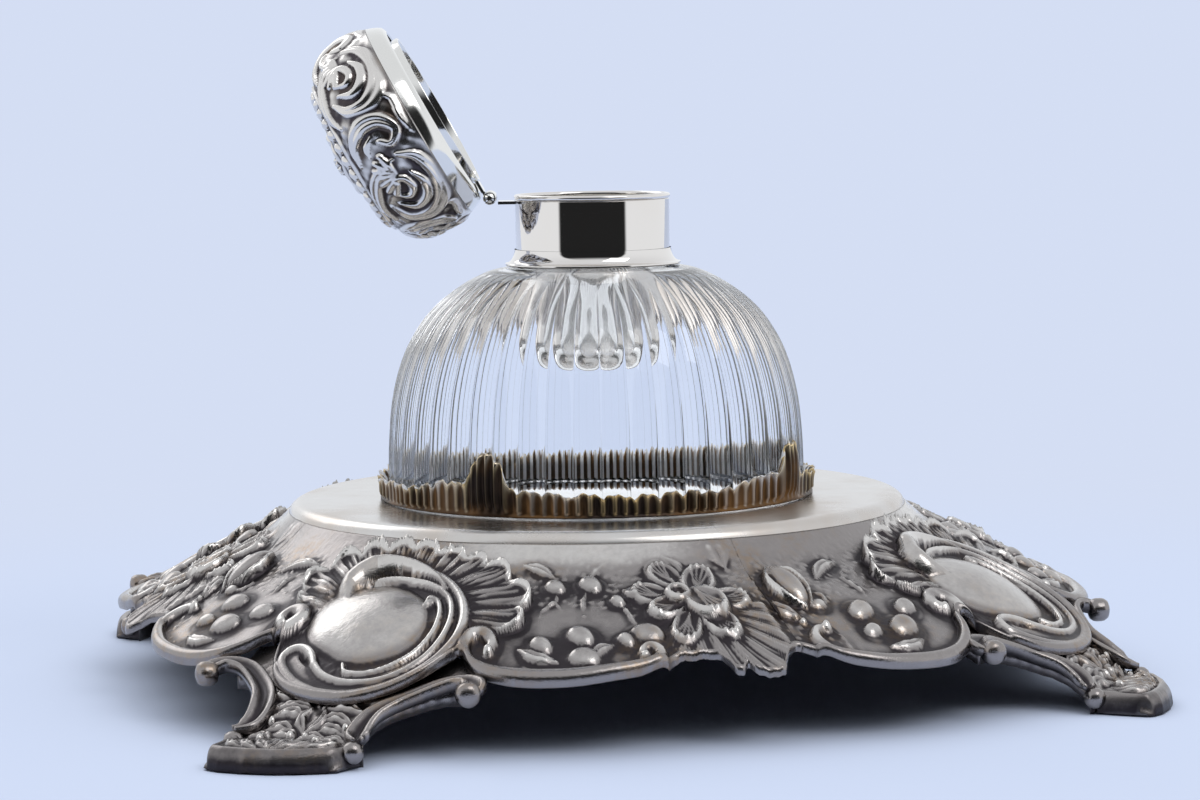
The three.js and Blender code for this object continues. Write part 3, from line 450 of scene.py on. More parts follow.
# Berries: across, out and size
BERRIES = [(32.9, 63.6, 2.3), (27.4, 66.9, 2.0), (33.0, 82.6, 2.3), (38.4, 77.6, 2.6),
           (41.6, 82.2, 2.7), (48.6, 71.4, 2.9), (46.0, 74.4, 1.7), (39.6, 65.6, 1.5),
           (-37.5, 75.2, 2.7), (-34.8, 82.6, 3.0), (-28.3, 80.0, 2.4), (-42.6, 69.0, 1.5),
           (-41.4, 79.4, 1.9), (-55.4, 65.0, 2.0)]
TENDRILS = [
    [(32.9, 63.6), (31.6, 60.6), (32.2, 57.4)],
    [(27.4, 66.9), (29.2, 70.0), (28.4, 74.2), (30.2, 78.4), (33.0, 82.6)],
    [(32.9, 63.6), (33.8, 68.0), (36.2, 72.2), (38.4, 77.6)],
    [(39.6, 65.6), (42.8, 67.4), (45.4, 69.6), (48.6, 71.4)],
    [(38.4, 77.6), (41.4, 79.0), (41.6, 82.2)],
    [(28.6, 86.8), (33.4, 88.0), (38.8, 86.8), (43.6, 84.0)],
    [(46.0, 74.4), (45.6, 77.6), (47.4, 79.8), (49.4, 78.4)],
    [(29.6, 70.6), (33.4, 73.0), (37.4, 71.2), (41.4, 72.4)],
    [(-27.0, 66.4), (-29.6, 68.6), (-30.4, 72.6), (-33.6, 75.2), (-33.2, 79.0)],
    [(-45.8, 78.3), (-43.1, 78.2), (-39.8, 81.0), (-40.1, 84.2), (-43.9, 83.0), (-45.6, 80.2)],
    [(-41.0, 73.4), (-43.8, 75.4), (-45.2, 78.2)],
    [(-27.4, 80.8), (-30.0, 82.8), (-32.2, 84.4)],
    [(-24.4, 89.0), (-29.6, 90.6), (-35.2, 90.0), (-40.8, 87.6), (-46.0, 83.6)],
    [(-43.2, 66.8), (-42.6, 68.8), (-40.2, 69.2), (-38.6, 67.6), (-40.0, 66.2), (-41.4, 67.2)],
    [(-48.6, 72.6), (-47.4, 75.6), (-49.4, 78.6)],
]
# Leaves: line and half width
LEAVES = [
    ([(44.4, 76.6), (43.0, 79.4), (43.8, 82.6)], 1.4),
    ([(29.6, 84.4), (33.6, 85.6), (37.6, 84.8)], 1.3),
    ([(-34.0, 64.6), (-30.2, 63.6), (-25.4, 64.4)], 1.4),
    ([(-35.0, 86.4), (-39.4, 86.0), (-42.6, 83.6)], 1.3),
    ([(-49.8, 60.8), (-49.8, 64.8), (-48.9, 68.6)], 2.0),
    ([(44.0, 60.4), (41.2, 62.2), (38.8, 61.8)], 2.1),
    ([(46.4, 54.6), (43.8, 51.4), (40.8, 50.4)], 2.2),
    ([(51.0, 44.6), (47.4, 42.4), (44.2, 42.6)], 2.5),
    ([(25.4, 63.9), (22.0, 63.2), (19.0, 63.4)], 1.2),
]
BUD = ((-42.6, 62.4), (5.6, 3.0), 110)
FLOWER = (51.6, 58.8)
FLOWER_EYE = (-2.9, 0.4)
# Petals: across and out from the flower, half length and width, rise, turn and hollow
PETALS = [
    (-8.0, 2.2, 3.6, 2.6, 1.7, 170, 0.5), (-8.4, -4.4, 3.6, 2.6, 1.9, 205, 0.5),
    (-2.3, -6.3, 4.4, 3.0, 2.4, 250, 0.7), (5.0, -5.0, 3.8, 2.8, 2.1, 315, 0.5),
    (2.4, 7.4, 4.4, 2.6, 2.1, 70, 0.6), (7.0, 2.6, 4.2, 3.0, 2.4, 20, 0.6),
    (-3.2, 4.6, 3.4, 2.6, 2.3, 120, 0.6), (2.6, -0.4, 4.4, 3.7, 3.7, 20, 0.3),
    (-2.9, 0.4, 2.5, 2.3, 3.0, 0, 0.0),
]
SHELL_MIDDLE = (51.6, 60.0)
SHELL_LOW, SHELL_HIGH = 36.0, 51.6      # the shell's sides, in degrees from the corner
SHELL_INNER = 77
SHELL_EDGES = [
    [(56.0, 75.4), (58.1, 73.2), (60.6, 70.8)],
    [(60.6, 70.8), (62.6, 70.2), (65.6, 70.8), (66.6, 71.4)],
    [(68.6, 68.8), (70.6, 68.0), (73.4, 65.4), (73.6, 63.6)],
]


def ground(radius):
    """The border sheet's height at a radius, without its ornament."""
    return 29.5 - 0.40 * (radius - 64) - 0.0026 * (radius - 64) ** 2


def border_relief(across, out, edge):
    """Heights of one quarter's ornament over its ground; edge is the reach at each point."""
    r = Relief(across, out)
    radius, angle = np.hypot(across, out), np.degrees(np.arctan2(across, out))
    # the lobes are dished behind their rims
    for middle, turn in LOBE_DISHES:
        r.mound(middle, (17.0, 10.0), 1.0, turn=turn, power=1.0, how="into")
    # the ground is uneven and covered with flowing lines
    r.height += 0.10 * np.sin(0.9 * across + 0.5 * out) * np.sin(0.8 * out - 0.3 * across)
    r.height += 0.07 * np.sin(2.3 * across + 1.6 * np.sin(1.1 * out)) \
        * np.sin(2.1 * out + 1.3 * np.sin(1.3 * across))
    flowing = np.sin(4.4 * across + 2.1 * np.sin(0.45 * out) + 1.3 * np.sin(0.8 * across))
    crossing = np.sin(3.1 * out + 2.4 * np.sin(0.5 * across) + 0.6 * across)
    r.height += 0.085 * flowing * between(-0.4, 0.8, crossing) + 0.05 * crossing
    fan(r)
    shell(r, radius, angle)
    for line in TENDRILS:
        r.stroke(line, [0.35, 0.6, 0.55, 0.35], [0.3, 0.5, 0.5, 0.3], ridge, "on")
    for line, width in LEAVES:
        r.stroke(line, [0.3, width, width * 0.9, 0.25], [0.5, 1.3, 1.5, 0.6], vein)
    for x, y, size in BERRIES:
        r.mound((x, y), (size * 1.6, size * 1.4), 0.5, power=1.0)
        r.mound((x, y), (size * 1.15, size * 0.85), 0.5 + size * 0.55, turn=25 * math.sin(x))
    rims(r)
    cartouche(r)
    flower(r)
    bud(r)
    # the rolled edge all round
    lip = np.clip(1 - (edge - radius) / 1.5, 0, 1)
    r.height = np.maximum(r.height, 0.75 * np.sqrt(np.clip(1 - (1 - lip) ** 2, 0, 1)) * (lip > 0))
    # it meets the drum flush
    r.height *= between(0.0, 1.6, radius - BORDER_FOOT) * 0.85 + 0.15
    return r.height * sizes().relief, r.polish


def polar(points, middle, around=None):
    """Bearings and distances of points from a middle, the bearings near a given one."""
    away = np.asarray(points, float) - np.array(middle)
    bearing = np.arctan2(away[:, 1], away[:, 0])
    bearing = np.unwrap(bearing) if around is None else \
        around + (bearing - around + math.pi) % (2 * math.pi) - math.pi
    return bearing, np.hypot(away[:, 0], away[:, 1])


def fan(r):
    """Flames that rise behind the cartouche up to the drum's shoulder."""
    edge = flow(FAN_EDGE)
    bearing, reach = polar(edge, FAN_MIDDLE)
    first, last = bearing.min(), bearing.max()
    x, y = r.about(FAN_MIDDLE)
    far, at = np.hypot(x, y), np.arctan2(y, x)
    at = np.where(at < first - 0.02, at + 2 * math.pi, at)
    at = np.where(at > last + 0.02, at - 2 * math.pi, at)
    top = look_up(at, bearing, spread(FAN_RISE, np.linspace(0, 1, len(edge))))
    marks = np.sort(polar(FAN_NOTCHES, FAN_MIDDLE, bearing.mean())[0])
    marks = np.concatenate([[first - 0.02], marks, [last + 0.02]])
    flame = np.clip(np.interp(at, marks, np.arange(len(marks))), 0, len(marks) - 1.001)
    part = flame % 1
    arch = np.sin(part * math.pi) ** 0.6
    limit = look_up(at, bearing, reach) - 1.7 * (1 - arch)
    share = np.clip((far - FAN_START) / (limit - FAN_START), 0, 1)
    turn = (at - first) / (last - first)
    ribs = 0.5 + 0.5 * np.cos(turn * FAN_RIBS * math.pi + 2.2 * np.sin(share * 2 + flame * 1.7))
    fine = 0.5 + 0.5 * np.cos(
        turn * FAN_RIBS * 3.1 * math.pi + share * 5 + 2.5 * np.sin(flame * 2.3))
    body = 0.8 + (top - 0.8) * share ** 1.7
    furrow = (0.42 * ribs + 0.30 * fine) * between(0.08, 0.35, share) * between(1.0, 0.88, share)
    cup = 0.85 * np.sin(part * math.pi) * between(0.55, 0.85, share) * between(0.99, 0.9, share)
    fold = 1.3 * (1 - arch) * between(0.2, 0.85, share)
    lip = (0.75 + 0.3 * np.sin(turn * 61)) * np.exp(-((share - 0.955) / 0.03) ** 2) * arch
    height = (body + furrow + lip - cup - fold) * between(0.0, 1.0, (limit - far) / 0.55)
    where = np.nonzero((at >= first) & (at <= last) & (far < limit) & (far > FAN_START - 2))[0]
    r.lay(where, height[where])
    r.polish[where] = -0.55


def shell(r, radius, angle):
    """The ribbed shell on the side's middle, under the flower."""
    x, y = r.about(SHELL_MIDDLE)
    far, bearing = np.hypot(x, y), np.degrees(np.arctan2(x, y))
    ribs = 0.5 + 0.5 * np.cos(np.radians(bearing) * 26 + 0.16 * far + 1.2 * np.sin(0.07 * bearing))
    fine = 0.5 + 0.5 * np.cos(np.radians(bearing) * 97 + 0.1 * far + np.sin(0.5 * far))
    height = 0.3 + 0.03 * np.clip(far - 6, 0, 30) + 0.34 * ribs ** 0.8 + 0.22 * fine
    height *= between(SHELL_LOW, SHELL_LOW + 1.6, angle) \
        * between(SHELL_HIGH, SHELL_HIGH - 1.4, angle) \
        * between(SHELL_INNER, SHELL_INNER + 3, radius)
    where = np.nonzero((angle > SHELL_LOW) & (angle < SHELL_HIGH) & (radius > SHELL_INNER))[0]
    r.lay(where, height[where])
    # its edge turns up in unequal steps
    for line in SHELL_EDGES:
        r.stroke(line, [0.4, 0.75, 0.75, 0.4], [1.1, 1.7, 1.7, 1.1])


def rims(r):
    """The rolled rims of the side lobes, with fine lines inside them."""
    for path, side, shares, lines in ((NEAR_RIM, 1, NEAR_SHARES, 2), (FAR_RIM, -1, FAR_SHARES, 5)):
        r.stroke(offset(path[4:-4], side * 3.0), 0.4, 0.45, ridge, "on")
        for k in range(lines):
            r.stroke(offset(path[6:-5], side * (4.4 + 1.5 * k)), 0.35, 0.3, ridge, "on")
        r.stroke(path, [1.75 * share for share in shares], [0.4 + 1.7 * share for share in shares])
        for end in (path[0], path[-1]):
            r.mound(end, (1.1, 1.1), 2.0)


def cartouche(r):
    """A smooth boss in a large C scroll that is open to one side."""
    r.stroke(offset(FRAME_OUTER[1:-3], 2.0),
             [1.4, 2.6, 2.8, 2.8, 2.8, 2.8, 2.6, 1.4], 1.0, flat)
    r.stroke(FRAME_OUTER, [0.9, 1.15, 1.25, 1.35, 1.4, 1.4, 1.35, 1.3, 1.2, 0.95],
             [3.2, 3.1, 2.9, 2.6, 2.4, 1.9, 1.5, 1.5, 1.8, 2.0])
    r.stroke(FRAME_INNER, [1.0, 0.95, 0.95, 0.95, 0.95, 0.9, 0.8],
             [2.0, 1.7, 1.8, 2.1, 2.3, 2.5, 2.7])
    r.stroke(FRAME_LINING, [0.5, 0.6, 0.6, 0.65, 0.7, 0.8, 0.8],
             [1.4, 1.6, 1.6, 1.6, 1.7, 1.9, 2.1])
    r.mound((7.8, 78.6), (1.2, 1.2), 2.0)
    x, y = r.about(BOSS_MIDDLE)
    far = np.hypot(x, y)
    r.polish[far < 13.0] = 0.0
    bearing, reach = polar(BOSS + BOSS[:1], BOSS_MIDDLE)
    order = np.argsort(bearing)
    low = bearing[order][0]
    smooth = flow(np.stack([bearing[order], reach[order]], 1), 0.1)
    at = low + (np.arctan2(y, x) - low) % (2 * math.pi)
    share = far / np.interp(at, smooth[:, 0], smooth[:, 1])
    where = np.nonzero(share < 1)[0]
    r.lay(where, 0.2 + BOSS_RISE * (1 - share[where] ** 2.2) ** 0.9)
    r.polish[where] = between(1.0, 0.8, share[where])
    r.stroke(CURL, [0.5, 1.0, 1.4, 2.0, 2.8, 2.6, 0.9], [2.6, 3.2, 3.8, 4.4, 5.2, 4.7, 3.0])
    r.stroke(CURL_GROOVE, [0.3, 0.7, 0.8, 0.4], 1.2, bead, "into")
    x, y = r.about(CURL_BELLY)
    r.polish[(x / 3.4) ** 2 + (y / 4.8) ** 2 < 1] = 0.9


def flower(r):
    """A full blown rose of cupped petals, its largest standing over the rest."""
    x, y = FLOWER
    for dx, dy, long, wide, rise, turn, hollow in PETALS:
        cx, cy, a = x + dx, y + dy, math.radians(turn)
        r.mound((cx, cy), (long + 0.8, wide + 0.8), rise * 0.55, turn=turn, power=0.4)
        r.mound((cx, cy), (long + 0.3, wide + 0.3), rise, turn=turn, power=0.28)
        if hollow:
            r.mound((cx - 0.5 * math.cos(a), cy - 0.5 * math.sin(a)), (long * 0.86, wide * 0.84),
                    hollow + 0.35 * rise, turn=turn, how="into")
            root = (cx - 0.8 * long * math.cos(a), cy - 0.8 * long * math.sin(a))
            for b in (a - 0.5, a - 0.17, a + 0.17, a + 0.5):
                r.stroke([root, (cx + 0.8 * long * math.cos(b), cy + 0.8 * long * math.sin(b))],
                         [0.25, 0.45], [0.2, 0.4], ridge, "on")
    # the eye: a hollow with a stamen in it
    eye = (x + FLOWER_EYE[0], y + FLOWER_EYE[1])
    r.mound(eye, (1.6, 1.5), 2.0, power=0.8, how="into")
    r.mound(eye, (0.7, 0.7), 0.9, power=0.8, how="on")


def bud(r):
    """A half open bud in its sepals, and the beaded leaf beside it."""
    (x, y), (length, width), turn = BUD
    c, s = math.cos(math.radians(turn)), math.sin(math.radians(turn))
    r.mound((x, y), (length * 1.05, width * 1.25), 1.3, turn=turn)
    r.mound((x, y), (length, width), 3.5, turn=turn)
    for side in (-1, 1):
        line = [(x + k * length * c - side * w * s, y + k * length * s + side * w * c)
                for k, w in ((-1.0, 0.2), (-0.3, 3.0), (0.5, 2.9), (1.1, 0.6))]
        r.stroke(line, [0.4, 0.9, 0.7, 0.3], [1.6, 2.9, 2.6, 1.4], ridge)
    for k in range(6):
        r.mound((-49.2 - 0.12 * k, 60.8 + 1.7 * k), (0.75, 0.75), 1.2)


def border_quarter():
    """One casting of the border, on the corner at angle 0."""
    angle = np.linspace(SEAM, SEAM + QUARTER, sizes().columns + 1)
    turn = np.radians(angle)
    reach = look_up(angle, *flow(OUTLINE, 0.4).T)
    roll, drop = (look_up(angle, *zip(*rows)) for rows in (EDGE_ROLL, EDGE_DEPTH))
    brow = reach - roll
    radius = BORDER_FOOT + (brow - BORDER_FOOT) * np.linspace(0, 1, sizes().rows)[:, None]
    relief, polish = (grid.reshape(radius.shape) for grid in border_relief(
        (radius * np.sin(turn)).ravel(), (radius * np.cos(turn)).ravel(),
        np.broadcast_to(reach, radius.shape).ravel()))
    # the sheet turns up to the drum, plain but for the flames
    skirt = SKIRT_RISE * np.clip((SKIRT_EDGE - radius) / (SKIRT_EDGE - BORDER_FOOT), 0, 1) ** 1.6
    plain = between(1.6, 0.4, relief) * between(69.0, 64.0, radius)
    height = ground(radius) + np.maximum(relief, skirt + 0.35 * relief)
    # the edge rolls over and under
    turns = np.radians(np.linspace(0, EDGE_TURN, 14))[1:, None]
    over, under = np.minimum(turns, math.pi / 2), np.maximum(turns, math.pi / 2)
    edge_radius = brow + roll * np.sin(over) - 0.35 * roll * (1 - np.sin(under))
    edge_height = height[-1] - drop * (1 - np.cos(turns)) / (1 - math.cos(turns[-1, 0]))
    # the underside leaves the edge for the sheet's own
    share = np.linspace(1, 0, 9)[1:, None]
    under_radius = BORDER_FOOT + (edge_radius[-1] - BORDER_FOOT) * share
    sheet, blend = ground(under_radius), share ** 2
    under_height = (sheet - SHEET) * (1 - blend) \
        + (edge_height[-1] + sheet - ground(edge_radius[-1])) * blend
    places = spun(looped(radius, edge_radius, under_radius), turn,
                  looped(height, edge_height, under_height))
    # worn where it stands proud and black where it is low, near by and over a broader field
    high, broad = proud(relief, 4, 4), proud(relief, 11, 11)
    worn = 0.47 + np.where(high > 0, 0.66 * np.tanh(high / 0.7), high / 0.42) \
        + np.minimum(broad, 0) / 1.9 + 0.03 * relief
    worn = worn * (1 - polish) + 0.82 * polish
    # painted highlight: the plain skirt is coloured brighter over part of each quarter than over
    # the rest
    skirt_painted_highlight = 0.52 + 0.40 * between(-12, 16, angle) * between(52, 34, angle)
    worn = worn * (1 - plain) + skirt_painted_highlight * plain
    edge_worn = np.broadcast_to(worn[-1], edge_radius.shape) * 0.2 + 0.45
    # the underside is coloured near black as painted shade
    return moulded("border_quarter", places,
                   looped(worn, edge_worn, np.full(under_radius.shape, 0.05)))


# ---------------------------------------------------------------- feet

FOOT_TIPS = {"front_right": 120.0, "back_right": 122.0, "back_left": 117.0, "front_left": 122.0}
FOOT_ROOT = 87.0              # how far in under the border a foot reaches
ROOT_HALF = 24.0
NECK_END = 27.2               # in from the tip, as are the toe's length and its flat
TOE_LENGTH = 9.6
TOE_FLAT = 10.0
TOE_TOP = 4.0
TOE_HALF = 12.6
BAND_HALF, BAND_THICK = 2.3, 1.75
# The C scroll along one side of a foot: in from the tip, across, and over the plate
ARM = [(22.4, 28.0, 4.0), (24.6, 27.8, 3.6), (26.9, 25.6, 2.6), (26.8, 21.8, 1.7),
       (24.5, 17.9, 1.2), (21.3, 14.3, 0.9), (17.8, 12.1, 0.9), (14.6, 11.2, 1.0),
       (11.4, 11.6, 1.2), (9.6, 13.0, 1.2)]
# How far the toe's end stands out past the tip, by how far across it is
TOE_LINE = [(-13, 0.6), (-11, 2.2), (-8, 3.0), (-3, 2.6), (2, 1.4), (6, -0.6), (10, -3.4),
            (13, -5.6)]
# Leaflets on a foot's neck: across and in from the tip; berries the same, and their size
FOOT_LEAVES = [
    [(0.4, 3.4), (1.2, 6.6), (0.2, 10.4)], [(1.0, 4.0), (3.6, 6.6), (3.4, 9.8)],
    [(2.8, 3.6), (6.2, 5.6), (6.6, 8.8)], [(5.4, 3.8), (8.4, 4.8), (9.6, 7.4)],
    [(0.4, 10.0), (2.6, 11.6), (6.4, 10.6)], [(4.4, 9.2), (7.2, 11.0), (9.6, 10.0)],
    [(0.2, 12.4), (2.2, 14.8), (1.2, 18.2)], [(2.2, 12.6), (5.2, 13.4), (8.2, 12.6)],
    [(1.8, 15.0), (4.8, 16.2), (8.6, 15.2)], [(1.6, 18.0), (5.2, 18.4), (9.2, 17.8)],
    [(0.6, 18.4), (3.0, 20.8), (7.6, 20.4)], [(5.0, 21.8), (9.4, 21.0), (13.2, 22.4)],
    [(3.0, 22.8), (8.0, 24.2), (14.0, 24.6)],
]
FOOT_BERRIES = [(5.2, 8.2, 0.9), (1.6, 11.0, 0.8), (7.8, 13.9, 0.8), (4.4, 19.6, 0.9)]


def foot_top(inset, across, tip):
    """Height of a foot's upper face before its ornament."""
    out = tip - inset
    slope = ground(np.hypot(out, across)) - 1.9 + 0.9 * between(98, 106, out)
    toe = TOE_TOP + 0.03 * (inset - 8)
    return toe + (slope - toe) * (0.5 + 0.5 * np.tanh((slope - toe) / 1.2))


def foot_half(inset):
    """Half the width of a foot's plate."""
    path = flow(ARM)
    neck = look_up(inset, *path[path[:, 1] < ROOT_HALF, :2].T)
    toe = TOE_HALF - 0.9 * np.clip(1 - inset / 8, 0, 1) ** 2
    return np.where(inset > NECK_END, ROOT_HALF,
                    np.where(inset < TOE_LENGTH, toe, np.minimum(neck, ROOT_HALF)))


def foot_relief(across, inset):
    """Leaves on a foot's neck and the roll along its toe."""
    r = Relief(across, inset)
    for side in (-1, 1):
        for k, line in enumerate(FOOT_LEAVES):
            r.stroke([(side * x, y + 0.25 * side * math.sin(3 * k)) for x, y in line],
                     [0.4, 1.25, 1.0, 0.25], [0.6, 1.25, 1.1, 0.4], vein)
        for x, y, size in FOOT_BERRIES:
            r.mound((side * x, y), (size, size), 1.5)
    r.height += 0.16 * np.sin(2.3 * across + 0.6 * inset) * np.sin(1.9 * inset - 0.5 * across)
    r.stroke([(x, 1.5) for x in np.linspace(-TOE_HALF + 0.8, TOE_HALF - 0.8, 21)], 1.35, 0.7)
    for side in (-1, 1):
        r.stroke([(side * 11.4, 2.0), (side * 11.9, 5.0), (side * 11.6, 8.6)], 0.9, 0.7)
    return r.height


def foot_plate(tip):
    """A foot's plate: root, neck and toe."""
    columns, rows = 190, 130
    share = np.linspace(-1, 1, rows + 1)[:, None]
    inset = np.broadcast_to((tip - FOOT_ROOT) * (1 - np.linspace(0, 1, columns + 1)),
                            (rows + 1, columns + 1))
    half = foot_half(inset)
    across = share * half
    relief = foot_relief(across.ravel(), inset.ravel()).reshape(across.shape)
    relief *= between(31, 27, inset)
    # the toe's sides and end are rounded over
    side = np.clip((1 - np.abs(share)) * half / 1.8, 0, 1)
    side = np.where(inset < TOE_LENGTH, side, 1)
    end = np.clip(inset / 2.8, 0, 1)
    off = np.minimum(np.hypot(1 - side, 1 - end), 1)
    top = foot_top(inset, across, tip) + relief - 3.4 * (1 - np.sqrt(1 - off ** 2))
    floor = np.where(inset < TOE_FLAT, 0.35 * off, np.maximum(top - 2.4 - 0.5 * relief, 0.0))
    out = tip - inset + look_up(across, *zip(*TOE_LINE)) * between(14, 3, inset)
    picked = np.round(np.linspace(1, 0, 13) * rows).astype(int)
    places = np.stack([looped(out, out[picked]), looped(across, across[picked]),
                       looped(top, floor[picked])], -1)
    # the toe's rounded front is coloured darker, and the plate's underside darker still, as
    # painted shade
    worn = 0.42 + proud(relief, 4, 4) / 0.8 - 0.25 * off * (inset < TOE_LENGTH)
    return moulded("foot_plate", places, looped(worn, np.full(out[picked].shape, 0.3)))


def foot_band(side, tip):
    """The C scroll along one side of a foot: a hollow between two rims."""
    path = flow(ARM)
    inset, across, lift = path.T
    along = headings(path[:, 1::-1])
    normal = np.stack([along[:, 1], -along[:, 0]])
    around = np.linspace(0, 2 * math.pi, 45)[:, None]
    x, z = -np.cos(around) * BAND_HALF, np.sin(around)
    hollow = 1.7 * np.exp(-(x / 1.15) ** 2) * (z > 0)
    z = np.where(z > 0, np.abs(z) ** 0.6, z) * BAND_THICK - hollow
    ends = np.minimum(np.arange(len(path)), np.arange(len(path))[::-1]) / len(path)
    taper = 0.5 + 0.5 * between(0.0, 0.10, ends)
    wide, deep = (middle + x * slope * taper for middle, slope in zip((across, inset), normal))
    heights = np.maximum(foot_top(inset, across, tip) + lift + z * taper, 0.05)
    # brighter over the top and darker under it, partly wear and partly painted shade; the hollow
    # is black with oxide
    worn = np.broadcast_to(0.44 + 0.36 * (z / BAND_THICK) - 0.3 * hollow, heights.shape)
    return moulded("foot_band", np.stack([tip - deep, side * wide, heights], -1), worn)


def scroll_end(name, inset, across, height, radius, half, tip):
    """The rolled end of a scroll, lying on its side and turned outwards."""
    piece = turned(name, [
        (0.0, -half), (radius - 1.3, -half), (radius - 0.5, -half + 0.35),
        (radius - 0.1, -half + 0.95), (radius, -half + 1.5), (radius, half - 1.5),
        (radius - 0.1, half - 0.95), (radius - 0.5, half - 0.35), (radius - 1.3, half),
        (0.0, half + 0.1)], segments=40, crease=60)
    outward = math.copysign(math.radians(40), across)
    piece.data.transform(Matrix.Translation(Vector((tip - inset, across, height)) * MM)
                         @ Matrix.Rotation(outward, 4, "Z")
                         @ Matrix.Rotation(math.radians(90), 4, "Y"))
    set_wear_and_painted_light(piece, np.full(len(piece.data.vertices), 0.54))
    return piece


def one_foot(tip):
    pieces = [foot_plate(tip)]
    arm = float(foot_top(np.array(22.6), np.array(27.8), tip)) + ARM[0][2]
    for side in (-1, 1):
        pieces += [foot_band(side, tip),
                   scroll_end("arm_end", 22.8, side * 27.6, arm, 2.3, 2.0, tip),
                   scroll_end("toe_end", 8.8, side * 12.4, 3.0, 2.0, 1.8, tip)]
    return joined("foot", pieces)


# ---------------------------------------------------------------- drum, gallery, glass

def drum():
    """The raised round platform: flat top, rolled shoulder, sloping wall and flange."""
    top, radius = PLATFORM_TOP, PLATFORM_RADIUS
    shoulder = [(radius - 3.0 + 3.0 * math.sin(a), top - 2.6 + 2.6 * math.cos(a))
                for a in np.radians(np.linspace(0, 60, 8))]
    return turned("platform_drum", [
        (0.0, top - 0.35), (20, top - 0.3), (40, top - 0.12), (52, top - 0.02), (57, top),
        *shoulder,
        (radius + 0.1, top - 2.4), (radius + 0.2, 30.4), (radius + 1.8, 29.4), (66.6, 28.2),
        (66.6, 25.4), (66.0, 25.2), (62.0, 26.6), (61.2, 28.0), (60.9, 32.6), (59.4, 33.8),
        (40, 33.9), (0, 33.8),
    ], segments=192)


GALLERY_RADIUS = 42.5
GALLERY_FLOOR = 35.45
GALLERY_COLUMNS = 1440
# The gallery's height over a quarter, by degrees from its shell's peak
GALLERY = [(-45, 4.4), (-38, 4.8), (-30, 4.3), (-24, 4.9), (-18, 5.8), (-14, 6.5), (-10, 6.4),
           (-6.6, 6.6), (-5.0, 8.8), (-3.8, 11.0), (-1.6, 12.2), (1.2, 12.2), (3.4, 11.0),
           (4.6, 8.4), (6.0, 5.6), (10, 5.1), (14, 5.2), (20, 4.5), (28, 4.7), (36, 4.2),
           (45, 4.4)]


def gallery_strip():
    """The crimped strip that holds the glass, with a shell over each foot."""
    turn = np.linspace(0, 360, GALLERY_COLUMNS + 1)
    wide = np.radians(turn)
    near = turn % QUARTER - QUARTER / 2
    peak = between(6.4, 3.4, np.abs(near))
    fold = np.sin((wide * 118 + 0.9 * np.sin(wide * 7) + 0.7 * np.sin(wide * 19 + 1)) / 2) ** 2
    rib = fold * (1 - peak) + (0.5 + 0.5 * np.cos(np.radians(near) * 150)) * peak
    torn = np.abs(np.sin(wide * 29 + 1.4 * np.sin(wide * 5))) ** 0.6
    crest = look_up(near, *zip(*GALLERY)) + (1.1 * torn - 0.9) * (1 - 0.2 * peak) \
        + 0.25 * np.sin(wide * 83 + 1.3) * np.sin(wide * 37)
    # up the outside, over the crest and down the inside
    share = np.concatenate([np.linspace(0, 1, 18), np.linspace(1, 0, 10)[1:], [0.0]])[:, None]
    outward = np.concatenate([np.ones(18), np.linspace(0.5, 0, 3), np.zeros(6), [1.0]])[:, None]
    depth = 0.26 + 0.16 * np.sin(wide * 13 + 0.7)
    radius = GALLERY_RADIUS + outward * (
        0.7 + 2 * depth * rib * between(0.04, 0.25, share)
        + 0.7 * peak * np.sin(share * math.pi) ** 0.8 + 0.4 * share ** 4
        + 0.55 * between(0.10, 0.02, share))
    wear_and_painted_light = 0.06 + 0.36 * rib * outward + 0.7 * share ** 8 - 0.14 * peak \
        - 0.3 * between(0.12, 0.0, share)
    # inside it is painted bright as the light seen through the glass, with painted dark stripes at
    # the flutes' spacing
    clear = between(0.42, 0.6, 0.5 + 0.5 * np.sin(wide * 48 + 0.8 * np.sin(wide * 5)))
    wear_and_painted_light = np.where(outward < 0.6, 1.0 - 0.98 * clear, wear_and_painted_light)
    return moulded("gallery_strip", spun(radius, wide, GALLERY_FLOOR + share * crest), wear_and_painted_light)


DOME = [(41.0, 35.5), (41.9, 36.2), (42.0, 38.0), (42.0, 42.0), (41.8, 47.0), (41.2, 53.6),
        (40.0, 59.5), (38.2, 64.7), (36.1, 68.6), (34.0, 71.6), (31.4, 74.3), (28.2, 76.8),
        (24.6, 79.0), (21.0, 80.6), (17.4, 81.4)]
NECK = [(15.2, 81.6), (13.6, 82.0), (GLASS_NECK, 82.6), (GLASS_NECK, 88.0), (GLASS_NECK, 94.2),
        (12.9, NECK_TOP), (8.8, NECK_TOP), (8.5, 94.3), (8.6, 88.0), (8.7, 81.6)]
BOWL = [(8.7, 81.0), (9.2, 76.0), (9.9, 69.0), (10.0, 63.0), (9.2, 59.4), (7.0, 57.6),
        (3.5, 57.05), (0.0, 57.0)]
UNDERSIDE = [(0.0, 37.3), (10, 37.2), (20, 36.9), (30, 36.3), (37, 35.6), (38.4, GLASS_FLOOR),
             (40.4, GLASS_FLOOR)]
FLUTE_COLUMNS = 14            # columns of faces to a flute


